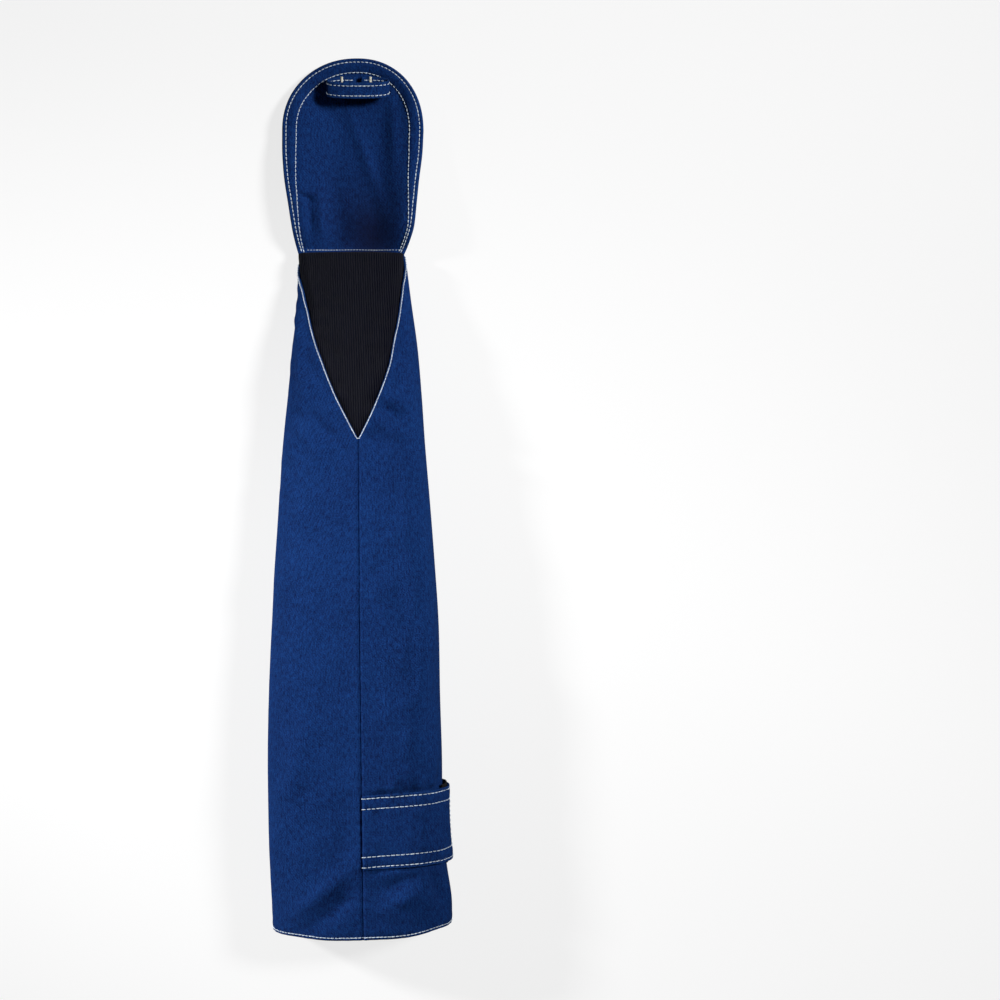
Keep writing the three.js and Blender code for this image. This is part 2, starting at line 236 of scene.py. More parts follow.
def twillGroup():
    # warp threads that float over three picks and dip under one, stepped along a diagonal
    inputs = [("Place", "NodeSocketVector", None), ("Thread Pitch", "NodeSocketFloat", 0.0005)]
    outputs = [("Height", "NodeSocketFloat"), ("Thread", "NodeSocketFloat")]
    tree, given, out = newGroup("twillWeave", inputs, outputs)
    place = put(tree, "ShaderNodeSeparateXYZ", {0: given["Place"]}).outputs
    across = calc(tree, "DIVIDE", place["X"], given["Thread Pitch"])
    along = calc(tree, "DIVIDE", place["Y"], given["Thread Pitch"])
    thread = calc(tree, "ABSOLUTE", calc(tree, "SINE", calc(tree, "MULTIPLY", across, math.pi)))
    stepped = calc(tree, "ADD", along, calc(tree, "FLOOR", across))
    share = calc(tree, "FRACT", calc(tree, "MULTIPLY", stepped, 1 / twill["repeat"]))
    floating = calc(tree, "SINE", calc(tree, "MULTIPLY", share, math.pi))
    height = calc(tree, "MULTIPLY", thread, calc(tree, "POWER", floating, twill["floatShape"]))
    tree.links.new(height, out["Height"])
    number = put(tree, "ShaderNodeTexWhiteNoise", {"W": calc(tree, "FLOOR", across)}, noise_dimensions="1D")
    tree.links.new(number.outputs["Value"], out["Thread"])
    return tree


dyeNoise = {
    "warp": {"scale": 900.0, "stretch": (1.0, 0.3, 1.0), "detail": 2.0},
    "fleck": {"scale": 1150.0, "stretch": (1.0, 1.0, 1.0), "detail": 2.0},
    "cloud": {"scale": 330.0, "stretch": (1.0, 0.7, 1.0), "detail": 2.0},
    "broad": {"scale": 26.0, "stretch": (1.0, 0.6, 1.0), "detail": 4.0},
    "cloudShare": 0.25,
}


def dyeGroup():
    # uneven dye and slubs: streaks along the warp, flecks, small clouds and broad patches
    inputs = [
        ("Place", "NodeSocketVector", None),
        ("Grain", "NodeSocketFloat", 0.16),
        ("Patch", "NodeSocketFloat", 0.2),
    ]
    tree, given, out = newGroup("unevenDye", inputs, [("Shade", "NodeSocketFloat")])

    def noise(kind):
        row = dyeNoise[kind]
        scaled = put(tree, "ShaderNodeMapping", {"Vector": given["Place"], "Scale": row["stretch"]})
        grains = {"Vector": scaled.outputs[0], "Scale": row["scale"], "Detail": row["detail"]}
        made = put(tree, "ShaderNodeTexNoise", grains)
        return calc(tree, "SUBTRACT", made.outputs[0], 0.5)

    clouds = calc(tree, "MULTIPLY", noise("cloud"), dyeNoise["cloudShare"])
    grain = calc(tree, "ADD", calc(tree, "ADD", noise("warp"), noise("fleck")), clouds)
    total = calc(tree, "MULTIPLY", grain, given["Grain"])
    total = calc(tree, "ADD", total, calc(tree, "MULTIPLY", noise("broad"), given["Patch"]))
    tree.links.new(calc(tree, "ADD", total, 0.5), out["Shade"])
    return tree


weave = twillGroup()
dye = dyeGroup()


def newMaterial(name):
    material = bpy.data.materials.new(name)
    material.use_nodes = True
    return material, material.node_tree, material.node_tree.nodes["Principled BSDF"]


def mixColor(tree, share, low, high):
    return put(tree, "ShaderNodeMix", {0: share, 6: low, 7: high}, data_type="RGBA").outputs[2]


clothBase = {
    "weaveShade": 0.22, "threadShade": 0.08, "shadeLow": 0.25, "shadeHigh": 1.0, "fadeLeast": 0.2,
    "sheenRoughness": 0.45, "bumpDepth": 0.00022, "stainRelief": 1.2,
}


def clothMaterial(look):
    material, tree, shader = newMaterial(look["name"])
    place = put(tree, "ShaderNodeUVMap", uv_map="clothMap").outputs[0]
    threads = put(tree, "ShaderNodeGroup", node_tree=weave)
    tree.links.new(place, threads.inputs["Place"])
    threads.inputs["Thread Pitch"].default_value = look["pitch"]
    stain = put(tree, "ShaderNodeGroup", node_tree=dye)
    tree.links.new(place, stain.inputs["Place"])
    stain.inputs["Grain"].default_value = look["grain"]
    stain.inputs["Patch"].default_value = look["patch"]
    woven = calc(tree, "MULTIPLY", threads.outputs["Height"], clothBase["weaveShade"])
    single = calc(tree, "MULTIPLY", threads.outputs["Thread"], clothBase["threadShade"])
    shade = calc(tree, "ADD", calc(tree, "ADD", stain.outputs["Shade"], woven), single)
    limits = {"Value": shade, "From Min": clothBase["shadeLow"], "From Max": clothBase["shadeHigh"]}
    ramp = put(tree, "ShaderNodeMapRange", limits).outputs[0]
    color = mixColor(tree, ramp, (*look["dark"], 1), (*look["light"], 1))
    worn = put(tree, "ShaderNodeAttribute", attribute_name="edgeFade").outputs["Fac"]
    fade = calc(tree, "MULTIPLY", worn, calc(tree, "ADD", stain.outputs["Shade"], clothBase["fadeLeast"]))
    color = mixColor(tree, fade, color, (*look["worn"], 1))
    # painted shade: an attribute mixes the cloth towards a dark colour where shade falls, near the wrist on
    # the cover's lower right
    paintedShadeMask = put(tree, "ShaderNodeAttribute", attribute_name="paintedShade").outputs["Fac"]
    color = mixColor(tree, paintedShadeMask, color, (*look["paintedDark"], 1))
    tree.links.new(color, shader.inputs["Base Color"])
    shader.inputs["Roughness"].default_value = look["roughness"]
    shader.inputs["Specular IOR Level"].default_value = look["gloss"]
    shader.inputs["Sheen Weight"].default_value = look["sheen"]
    shader.inputs["Sheen Roughness"].default_value = clothBase["sheenRoughness"]
    shader.inputs["Sheen Tint"].default_value = (*look["sheenTint"], 1)
    stained = calc(tree, "MULTIPLY", stain.outputs["Shade"], clothBase["stainRelief"])
    raised = calc(tree, "ADD", threads.outputs["Height"], stained)
    bumps = {"Strength": look["relief"], "Distance": clothBase["bumpDepth"], "Height": raised}
    relief = put(tree, "ShaderNodeBump", bumps)
    tree.links.new(relief.outputs[0], shader.inputs["Normal"])
    return material


blueTwill = clothMaterial({
    "name": "blueTwill", "pitch": 0.00052, "grain": 1.2, "patch": 0.3,
    "dark": (0.0030, 0.0092, 0.056), "light": (0.0075, 0.043, 0.184),
    # on the next line, the colour after the worn one is painted shade, laid on the hand cover
    "worn": (0.012, 0.06, 0.21), "paintedDark": (0.004, 0.0045, 0.018),
    "roughness": 0.92, "gloss": 0.05, "sheen": 0.04, "sheenTint": (0.15, 0.40, 1.0), "relief": 0.7,
})
blackElastic = clothMaterial({
    "name": "blackElastic", "pitch": 0.0008, "grain": 0.3, "patch": 0.15,
    "dark": (0.0009, 0.0012, 0.0048), "light": (0.0023, 0.0030, 0.0112),
    "worn": (0.02, 0.022, 0.035), "paintedDark": (0.001, 0.001, 0.002),
    "roughness": 0.9, "gloss": 0.04, "sheen": 0.01, "sheenTint": (0.4, 0.5, 0.9), "relief": 0.5,
})
blackTape = clothMaterial({
    "name": "blackTape", "pitch": 0.0011, "grain": 0.7, "patch": 0.3,
    "dark": (0.0035, 0.0035, 0.0038), "light": (0.0105, 0.0105, 0.011),
    "worn": (0.018, 0.018, 0.02), "paintedDark": (0.002, 0.002, 0.002),
    "roughness": 0.92, "gloss": 0.1, "sheen": 0.05, "sheenTint": (0.8, 0.8, 0.9), "relief": 0.9,
})
whiteLabel = clothMaterial({
    "name": "whiteLabel", "pitch": 0.0004, "grain": 0.2, "patch": 0.1,
    "dark": (0.68, 0.67, 0.70), "light": (0.84, 0.83, 0.86),
    "worn": (0.8, 0.79, 0.8), "paintedDark": (0.5, 0.5, 0.5),
    "roughness": 0.62, "gloss": 0.3, "sheen": 0.1, "sheenTint": (1.0, 1.0, 1.0), "relief": 0.35,
})


threadBase = {
    "ownShade": 0.6, "twistShade": 0.4, "twistScale": 2600.0, "twistDetail": 2.0,
    "roughness": 0.7, "gloss": 0.15, "relief": 0.6, "bumpDepth": 0.0001,
}


def threadMaterial(name, dark, light):
    material, tree, shader = newMaterial(name)
    shade = put(tree, "ShaderNodeAttribute", attribute_name="threadShade").outputs["Fac"]
    place = put(tree, "ShaderNodeTexCoord").outputs["Object"]
    strands = {"Vector": place, "Scale": threadBase["twistScale"], "Detail": threadBase["twistDetail"]}
    twist = put(tree, "ShaderNodeTexNoise", strands).outputs[0]
    own = calc(tree, "MULTIPLY", shade, threadBase["ownShade"])
    share = calc(tree, "ADD", own, calc(tree, "MULTIPLY", twist, threadBase["twistShade"]))
    tree.links.new(mixColor(tree, share, (*dark, 1), (*light, 1)), shader.inputs["Base Color"])
    shader.inputs["Roughness"].default_value = threadBase["roughness"]
    shader.inputs["Specular IOR Level"].default_value = threadBase["gloss"]
    bumps = {"Strength": threadBase["relief"], "Distance": threadBase["bumpDepth"], "Height": twist}
    tree.links.new(put(tree, "ShaderNodeBump", bumps).outputs[0], shader.inputs["Normal"])
    return material


creamThread = threadMaterial("creamThread", (0.55, 0.53, 0.44), (0.85, 0.83, 0.72))
whiteThread = threadMaterial("whiteThread", (0.43, 0.51, 0.60), (0.73, 0.83, 0.93))
print("materials ready")


# meshes from grids of points, in mm

def closedSheet(name, outer, inner, place, material, fade, paintedShadeMask=None, wrapped=False, innerEvery=1):
    # outer and inner faces share their edge points, so the sheet is closed
    rows, columns = outer.shape[:2]
    outerAt = np.arange(rows * columns).reshape(rows, columns)
    innerAt = outerAt.copy()
    kept = sorted({*range(0, rows, innerEvery), rows - 1})
    first, last = (0, columns) if wrapped else (1, columns - 1)
    inside = np.zeros((rows, columns), bool)
    inside[kept[1:-1], first:last] = True
    innerAt[inside] = rows * columns + np.arange(inside.sum())
    points = np.concatenate([outer.reshape(-1, 3), inner[inside]]) * mm

    def quads(at, usedRows):
        grid = at[usedRows]
        uv = place[usedRows]
        if wrapped:
            grid = np.concatenate([grid, grid[:, :1]], axis=1)
        corners = [grid[:-1, :-1], grid[:-1, 1:], grid[1:, 1:], grid[1:, :-1]]
        uvs = [uv[:-1, :-1], uv[:-1, 1:], uv[1:, 1:], uv[1:, :-1]]
        return np.stack(corners, -1).reshape(-1, 4), np.stack(uvs, -2).reshape(-1, 4, 2)

    outerQuads, outerUv = quads(outerAt, list(range(rows)))
    innerQuads, innerUv = quads(innerAt, kept)
    faces = np.concatenate([outerQuads, innerQuads[:, ::-1]])
    uvs = np.concatenate([outerUv, innerUv[:, ::-1]]) * mm
    mesh = bpy.data.meshes.new(name)
    mesh.vertices.add(len(points))
    mesh.vertices.foreach_set("co", points.ravel())
    mesh.loops.add(faces.size)
    mesh.loops.foreach_set("vertex_index", faces.ravel().astype(np.int32))
    mesh.polygons.add(len(faces))
    mesh.polygons.foreach_set("loop_start", np.arange(0, faces.size, 4, dtype=np.int32))
    mesh.update(calc_edges=True)
    mesh.polygons.foreach_set("use_smooth", np.ones(len(faces), bool))
    layer = mesh.uv_layers.new(name="clothMap")
    layer.uv.foreach_set("vector", uvs.astype(np.float32).ravel())
    worn = mesh.attributes.new("edgeFade", "FLOAT", "POINT")
    worn.data.foreach_set("value", np.concatenate([fade.ravel(), fade[inside]]).astype(np.float32))
    # painted shade: a per-point share of a dark colour, on the outer face only
    if paintedShadeMask is not None:
        paintedDark = mesh.attributes.new("paintedShade", "FLOAT", "POINT")
        paintedDark.data.foreach_set("value", np.concatenate([paintedShadeMask.ravel(), 0 * paintedShadeMask[inside]]).astype(np.float32))
    loose = np.ones(len(points), bool)
    loose[faces.ravel()] = False
    if loose.any() or mesh.validate():
        print(name, "mesh had faults", loose.sum())
    mesh.materials.append(material)
    made = bpy.data.objects.new(name, mesh)
    bpy.context.collection.objects.link(made)
    return made


# the tube: one cloth panel closed by a seam down the palm side

tube = {
    "wall": 1.4, "sideShare": 0.36, "crownBow": 0.83, "footBow": 0.5, "footPress": 1.06,
    "hemDepth": 7.0, "hemExtra": 0.9, "edgeExtra": 0.6, "edgeDepth": 5.0, "wristEnd": 165.0,
    "ripple": 0.7, "rippleFrom": 1.0, "rippleTo": 12.0,
    "lift": 1.5, "liftLow": -275.0, "liftHigh": -150.0, "liftRamp": 26.0,
    "edgeCalm": 0.6, "calmReach": 4.0,
    "puckerLow": 1.2, "puckerHigh": 2.4, "puckerFrom": -60.0, "puckerTo": 70.0,
    "tableLow": -306.0, "tableHigh": 171.0, "tableStep": 1.5, "turns": 1441, "shares": 721, "normalSpan": 4,
}
sleeveGrid = {
    "roundSize": 270.0, "roundStep": 1.45, "roundFine": [0.0, 0.35, 0.7, 1.1, 1.6, 2.2, 3.0, 4.0, 5.2],
    "alongFine": [0, 0.08, 0.25, 0.5, 0.8, 1.2, 1.7, 2.3, 2.9, 3.6, 4.5, 5.6, 6.8, 8.0], "alongCount": 236,
    "slopeSize": 200.0, "innerEvery": 4,
}
sleeveSections = [
    {"y": -300, "left": -58.8, "right": 62.9, "crown": 50, "seam": 4.1},
    {"y": -277, "left": -59.7, "right": 63, "crown": 52, "seam": 3.9},
    {"y": -252, "left": -61, "right": 59.4, "crown": 53.5, "seam": 3.6},
    {"y": -225, "left": -61.9, "right": 56.8, "crown": 54, "seam": 3.3},
    {"y": -179, "left": -62.4, "right": 56.3, "crown": 54, "seam": 2.8},
    {"y": -138, "left": -61.8, "right": 55, "crown": 53.5, "seam": 2.3},
    {"y": -89, "left": -59.8, "right": 54, "crown": 52, "seam": 1.7},
    {"y": -48, "left": -57.8, "right": 51.3, "crown": 50, "seam": 1.3},
    {"y": -7, "left": -55.1, "right": 48.1, "crown": 47, "seam": 0.8},
    {"y": 34, "left": -52.5, "right": 44.6, "crown": 43.5, "seam": 0.3},
    {"y": 67, "left": -49.2, "right": 42.3, "crown": 40, "seam": -0.8},
    {"y": 100, "left": -46.2, "right": 39.4, "crown": 35, "seam": -2.2},
    {"y": 133, "left": -43, "right": 34.8, "crown": 28.5, "seam": -3.9},
    {"y": 166, "left": -43.6, "right": 30.6, "crown": 22, "seam": -5.5},
]
mouthCut = [
    {"share": 0, "y": -300}, {"share": 0.1, "y": -298.6}, {"share": 0.17, "y": -294.4},
    {"share": 0.25, "y": -293}, {"share": 0.5, "y": -295.5}, {"share": 0.72, "y": -297},
    {"share": 0.82, "y": -298.4},
    {"share": 0.92, "y": -300.3}, {"share": 1, "y": -300},
]
sleeveFolds = [
    {"y": 56, "round": 23.5, "run": 12, "reach": 4.6, "lean": -60, "out": -3.4},
    {"y": 47, "round": 19, "run": 13, "reach": 4.5, "lean": -60, "out": 3.8},
    {"y": 64, "round": 23, "run": 11, "reach": 4.5, "lean": -60, "out": 2.2},
    {"y": 36, "round": 12, "run": 10, "reach": 3.4, "lean": -66, "out": -2.2},
    {"y": 95, "round": -40, "run": 24, "reach": 4, "lean": -6, "out": 2.8},
    {"y": 44, "round": -24, "run": 15, "reach": 3.8, "lean": -42, "out": -2.2},
    {"y": 34, "round": -33, "run": 16, "reach": 5, "lean": -42, "out": 1.8},
    {"y": -61, "round": 26, "run": 34, "reach": 12, "lean": -20, "out": -3.4},
    {"y": -82, "round": 12, "run": 16, "reach": 8, "lean": -30, "out": 1.6},
    {"y": -112, "round": 46, "run": 26, "reach": 8, "lean": 10, "out": 2.2},
    {"y": -183, "round": -44, "run": 28, "reach": 9, "lean": 15, "out": 2.6},
    {"y": -235, "round": -12, "run": 26, "reach": 8, "lean": 12, "out": -2.0},
    {"y": -266, "round": -25, "run": 28, "reach": 6, "lean": 49, "out": 3.0},
    {"y": -279, "round": -18, "run": 24, "reach": 6, "lean": 49, "out": -2.2},
    {"y": -264, "round": 52, "run": 13, "reach": 5, "lean": -24, "out": -4.0},
    {"y": -268, "round": 66, "run": 13, "reach": 4.5, "lean": 8, "out": 3.0},
    {"y": -262, "round": 24, "run": 13, "reach": 5, "lean": 66, "out": -2.4},
    {"y": -273, "round": 28, "run": 15, "reach": 5.5, "lean": 64, "out": 3.0},
    {"y": -197, "round": 34, "run": 6, "reach": 3, "lean": 12, "out": -2.4},
    {"y": -194, "round": 60, "run": 6, "reach": 4, "lean": -10, "out": -2.4},
]
seamBumps = [
    {"out": -1.1, "round": 0, "width": 0.8},  # the sewn groove
    {"out": 0.45, "round": 2.0, "width": 1.5},  # seam allowances below
    {"out": 0.2, "round": -2.2, "width": 1.6},
]
seamPucker = {"out": 0.2, "rate": 0.72, "sway": 1.3, "swayRate": 0.11, "width": 6.0}
hem = {
    "row": 1.9, "rowDepth": 0.3, "rowWidth": 0.8, "swell": 0.16, "swellAt": 5.0, "swellWidth": 1.6,
    "wave": 0.14, "waveRate": 0.9, "waveWidth": 5.0, "turn": 0.8,
}
cutEdge = {"row": 0.75, "rowDepth": 0.28, "rowWidth": 0.7}
gussetEdges = [
    {"y": 37, "left": 0, "right": 0}, {"y": 51, "left": 7, "right": 7.4},
    {"y": 66, "left": 14, "right": 14.3},
    {"y": 87, "left": 22, "right": 22.5}, {"y": 107, "left": 28.6, "right": 27.3},
    {"y": 127, "left": 33.4, "right": 32}, {"y": 139, "left": 36.4, "right": 34.7},
    {"y": 147, "left": 41.2, "right": 37.2}, {"y": 153, "left": 45, "right": 40},
    {"y": 165, "left": 54, "right": 47},
]
strap = {
    "width": 50.0, "start": 0.8, "end": 86.0, "yStart": -227.5, "yEnd": -223.0, "wall": 1.8,
    "rampStart": 16.0, "rampEnd": 56.0, "standOff": 3.0, "gap": 0.3,
    "tuck": 0.9, "tuckFrom": 0.3, "tuckTo": 9.0,
    "pinch": 2.6, "pinchOuter": 4.0, "pinchInner": 2.0,
    "rowDepth": 0.35, "rowWidth": 0.7, "puff": 0.25, "puffAt": 19.5, "puffWidth": 2.4,
    "wave": 0.25, "waveRate": 0.21, "waveLean": 0.05, "waveWidth": 12.0,
}
gather = {
    "tall": 0.5, "rate": 0.62, "shift": 0.6, "secondTall": 0.4, "secondRate": 0.37,
    "above": 5.0, "width": 5.0,
    "crevice": 1.1, "creviceAbove": 1.4, "creviceWidth": 1.1,
}


def ringTable():
    # the tube's plain sections, cut into even shares of their girth
    ys = np.arange(tube["tableLow"], tube["tableHigh"], tube["tableStep"])
    turn = np.linspace(0, 2 * math.pi, tube["turns"])
    columns = ("left", "right", "crown", "seam")
    left, right, crown, seam = (tableValue(sleeveSections, "y", name, ys)[:, None] for name in columns)
    across, up = np.abs(np.sin(turn))[None], np.cos(turn)[None]
    side = crown * tube["sideShare"]
    ramp = tube["liftRamp"] / 2
    lift = tube["lift"] * ease(ys, tube["liftLow"] - ramp, tube["liftLow"] + ramp)
    lift = (lift * (1 - ease(ys, tube["liftHigh"] - ramp, tube["liftHigh"] + ramp)))[:, None]
    reach = np.where(turn[None] <= math.pi, right - seam, left - seam)
    x = seam + reach * across ** np.where(up >= 0, tube["crownBow"], tube["footBow"])
    top = side + (crown - side) * np.abs(up) ** tube["crownBow"]
    foot = side * np.maximum(0, 1 - tube["footPress"] * np.abs(up) ** tube["footBow"])
    z = lift + np.where(up >= 0, top, foot) * (1 - lift / crown)
    walked = np.cumsum(np.hypot(np.diff(x, axis=1), np.diff(z, axis=1)), axis=1)
    walked = np.concatenate([np.zeros((len(ys), 1)), walked], axis=1)
    shares = np.linspace(0, 1, tube["shares"])
    span = tube["normalSpan"]
    ringX = np.array([np.interp(shares * w[-1], w, row) for w, row in zip(walked, x)])
    ringZ = np.array([np.interp(shares * w[-1], w, row) for w, row in zip(walked, z)])
    alongX = np.roll(ringX[:, :-1], -span, 1) - np.roll(ringX[:, :-1], span, 1)
    alongZ = np.roll(ringZ[:, :-1], -span, 1) - np.roll(ringZ[:, :-1], span, 1)
    size = np.hypot(alongX, alongZ)
    normal = [np.concatenate([n, n[:, :1]], axis=1) for n in (-alongZ / size, alongX / size)]
    return {"ys": ys, "length": walked[:, -1], "fields": np.stack([ringX, ringZ, *normal])}


rings = ringTable()
bodyWaves = drawWaves(12, 26.0, 95.0)
bodyPuckers = drawWaves(16, 9.0, 26.0)


def lengthAt(y):
    return np.interp(y, rings["ys"], rings["length"])


def ringSample(y, way):
    # place and outward direction of the tube's section, looked up between the table's rows
    share = (way / lengthAt(y)) % 1.0
    row = np.clip((y - rings["ys"][0]) / (rings["ys"][1] - rings["ys"][0]), 0, len(rings["ys"]) - 1.001)
    column = share * (rings["fields"].shape[2] - 1)
    r, c = row.astype(int), column.astype(int)
    fr, fc = row - r, column - c
    fields = rings["fields"]
    low = mix(fields[:, r, c], fields[:, r, c + 1], fc)
    high = mix(fields[:, r + 1, c], fields[:, r + 1, c + 1], fc)
    return mix(low, high, fr)


def strapMiddle(way):
    return mix(strap["yStart"], strap["yEnd"], (way - strap["start"]) / (strap["end"] - strap["start"]))


def calmByGusset(y, way):
    # folds and ripples die down beside the sewn edge of the cut-out
    left = tableValue(gussetEdges, "y", "left", y)
    right = tableValue(gussetEdges, "y", "right", y)
    side = np.where(way < 0, left, right)
    off = np.abs(np.abs(way) - side) + np.maximum(0.0, gussetEdges[0]["y"] - y)
    return mix(tube["edgeCalm"], 1.0, ease(off, 0.0, tube["calmReach"]))


def seamRelief(y, way):
    # groove, allowances and small puckers along the seam, below the tip of the cut-out
    tip = gussetEdges[0]["y"]
    belowTip = 1 - ease(y, tip - 3, tip + 1)
    groove = sum(row["out"] * bump(way, row["round"], row["width"]) for row in seamBumps)
    wave = np.sin(y * seamPucker["rate"] + seamPucker["sway"] * np.sin(y * seamPucker["swayRate"]))
    pucker = seamPucker["out"] * wave * bump(way, 0, seamPucker["width"])
    return belowTip * (groove + pucker)


def strapPinch(y, way):
    # the sleeve gives way under the strap
    half = strap["width"] / 2
    under = ease(np.abs(y - strapMiddle(way)), half + strap["pinchOuter"], half - strap["pinchInner"])
    return -strap["pinch"] * under * ease(way, 0.5, 13.0) * (1 - ease(way, 70.0, 90.0))


def strapGather(y, way):
    # cloth gathered above the strap's upper edge
    above = y - strapMiddle(way) - strap["width"] / 2
    beside = ease(way, 3.0, 16.0) * (1 - ease(way, 74.0, 88.0))
    first = gather["tall"] * np.sin(way * gather["rate"] + gather["shift"])
    second = gather["secondTall"] * np.sin(way * gather["secondRate"])
    crevice = -gather["crevice"] * bump(above, gather["creviceAbove"], gather["creviceWidth"])
    return ((first + second) * bump(above, gather["above"], gather["width"]) + crevice) * beside


def clothRelief(y, way):
    # folds and ripples, the seam, and what the strap does to the cloth
    folds = foldHeight(sleeveFolds, way, y, "round")
    ripples = tube["ripple"] * waveHeight(bodyWaves, way, y)
    puckers = mix(tube["puckerLow"], tube["puckerHigh"], ease(y, tube["puckerFrom"], tube["puckerTo"]))
    ripples = ripples + waveHeight(bodyPuckers, way, y) * puckers
    ripples = ripples * ease(np.abs(way), tube["rippleFrom"], tube["rippleTo"])
    soft = (folds + ripples) * calmByGusset(y, way)
    return soft + seamRelief(y, way) + strapPinch(y, way) + strapGather(y, way)


def onSleeve(y, way, out):
    # point on the cloth: along the arm, round from the seam to the right, out from the outer face
    y, way, out = np.broadcast_arrays(np.asarray(y, float), np.asarray(way, float), np.asarray(out, float))
    x, z, nx, nz = ringSample(y, way)
    length = lengthAt(y)
    signed = (way + length / 2) % length - length / 2
    reach = out + clothRelief(y, signed) * ease(nz, -0.05, 0.55)
    return np.stack([x + nx * reach, y, z + nz * reach], -1)


def sleeveNormal(y, way):
    x, z, nx, nz = ringSample(np.asarray(y, float), np.asarray(way, float))
    return np.stack([nx, np.zeros_like(nx), nz], -1)


def wristEdge(shares):
    # where the tube's edge is, for each share of the way round: down along the gusset, level round the back
    toRight = shares <= 0.5
    roundShare = np.where(toRight, shares, 1 - shares)

    def beyond(y):
        right = tableValue(gussetEdges, "y", "right", y)
        left = tableValue(gussetEdges, "y", "left", y)
        return np.where(toRight, right, left) - roundShare * lengthAt(y)

    low = np.full(shares.shape, float(gussetEdges[0]["y"]))
    high = np.full(shares.shape, tube["wristEnd"])
    for _ in range(40):
        middle = (low + high) / 2
        short = beyond(middle) < 0
        low, high = np.where(short, middle, low), np.where(short, high, middle)
    return low


def makeSleeve():
    grid = sleeveGrid
    shares = edgeSteps(grid["roundSize"], grid["roundFine"], grid["roundStep"]) / grid["roundSize"]
    shares = shares[:-1]  # the last is the first again
    mouth = tableValue(mouthCut, "share", "y", shares)
    edge = wristEdge(shares)
    steep = np.gradient(edge, shares * grid["slopeSize"])
    square = 1 / np.sqrt(1 + steep ** 2)
    fine = np.array(grid["alongFine"])
    middle = np.linspace(0, 1, grid["alongCount"])[1:-1, None]
    y = np.concatenate([
        mouth[None] + fine[:, None],
        mix(mouth[None] + fine[-1], edge[None] - fine[-1], middle),
        edge[None] - fine[::-1][:, None],
    ])
    way = shares[None] * lengthAt(y)
    fromMouth = y - mouth[None]
    fromEdge = (edge[None] - y) * square[None]
    turnedHem = 1 - ease(fromMouth, tube["hemDepth"] - hem["turn"], tube["hemDepth"] + hem["turn"])
    turnedEdge = 1 - ease(fromEdge, tube["edgeDepth"] - hem["turn"], tube["edgeDepth"] + hem["turn"])
    wall = tube["wall"] + tube["hemExtra"] * turnedHem + tube["edgeExtra"] * turnedEdge
    rounding = roundEdge(np.minimum(fromMouth, fromEdge), wall)
    sewn = -hem["rowDepth"] * bump(fromMouth, hem["row"], hem["rowWidth"])
    sewn = sewn - cutEdge["rowDepth"] * bump(fromEdge, cutEdge["row"], cutEdge["rowWidth"])
    sewn = sewn + hem["swell"] * bump(fromMouth, hem["swellAt"], hem["swellWidth"])
    sewn = sewn + hem["wave"] * np.sin(way * hem["waveRate"]) * bump(fromMouth, 0.0, hem["waveWidth"])
    outer = onSleeve(y, way, sewn - wall / 2 * (1 - rounding))
    inner = onSleeve(y, way, -wall / 2 * (1 + rounding))
    place = np.stack([way, y], -1)
    place = np.concatenate([place, np.stack([lengthAt(y[:, :1]), y[:, :1]], -1)], axis=1)
    fade = 0.2 * bump(np.minimum(fromMouth, fromEdge), 0.3, 0.9)
    every = grid["innerEvery"]
    return closedSheet("sleeveCloth", outer, inner, place, blueTwill, fade, wrapped=True, innerEvery=every)


sleeveCloth = makeSleeve()
print("sleeve cloth", len(sleeveCloth.data.polygons), "faces")


# elastic gusset behind the cut-out

gusset = {
    "lap": 5.5, "wall": 1.2, "edgeOut": -2.5, "swell": 1.2,
    "ribPitch": 1.6, "ribRadius": 0.72, "ribSink": 0.34, "ribStep": 3.0, "firstRib": -36, "lastRib": 31,
}
edgeFine = [0, 0.1, 0.3, 0.6, 1.0]  # close rows at a sheet's edge
tapeFine = edgeFine[:4]
labelFine = edgeFine[:3]
coverFine = edgeFine + [1.5]


def gussetOut(y, way):
    left = tableValue(gussetEdges, "y", "left", y)
    right = tableValue(gussetEdges, "y", "right", y)
    inside = np.minimum(way + left, right - way)
    return gusset["edgeOut"] + gusset["swell"] * ease(inside, -1.0, 9.0)


def makeGusset():
    low = gussetEdges[0]["y"] - gusset["lap"]
    y = low + edgeSteps(tube["wristEnd"] - low, edgeFine, 1.6)[:, None]
    left = -tableValue(gussetEdges, "y", "left", y) - gusset["lap"]
    right = tableValue(gussetEdges, "y", "right", y) + gusset["lap"]
    share = edgeSteps(100.0, edgeFine, 1.4)[None] / 100.0  # in hundredths of the width
    way = mix(left, right, share)
    y = np.broadcast_to(y, way.shape)
    distance = np.minimum(np.minimum(way - left, right - way), np.minimum(y - low, tube["wristEnd"] - y))
    rounding = roundEdge(distance, gusset["wall"])
    level = gussetOut(y, way)
    outer = onSleeve(y, way, level - gusset["wall"] / 2 * (1 - rounding))
    inner = onSleeve(y, way, level - gusset["wall"] / 2 * (1 + rounding))
    fade = 0.8 * bump(tube["wristEnd"] - y, 0.0, 0.8)
    return closedSheet("gussetElastic", outer, inner, np.stack([way, y], -1), blackElastic, fade)


gussetElastic = makeGusset()
print("gusset", len(gussetElastic.data.polygons), "faces")


# hand cover: rounded tongue with a turned rim

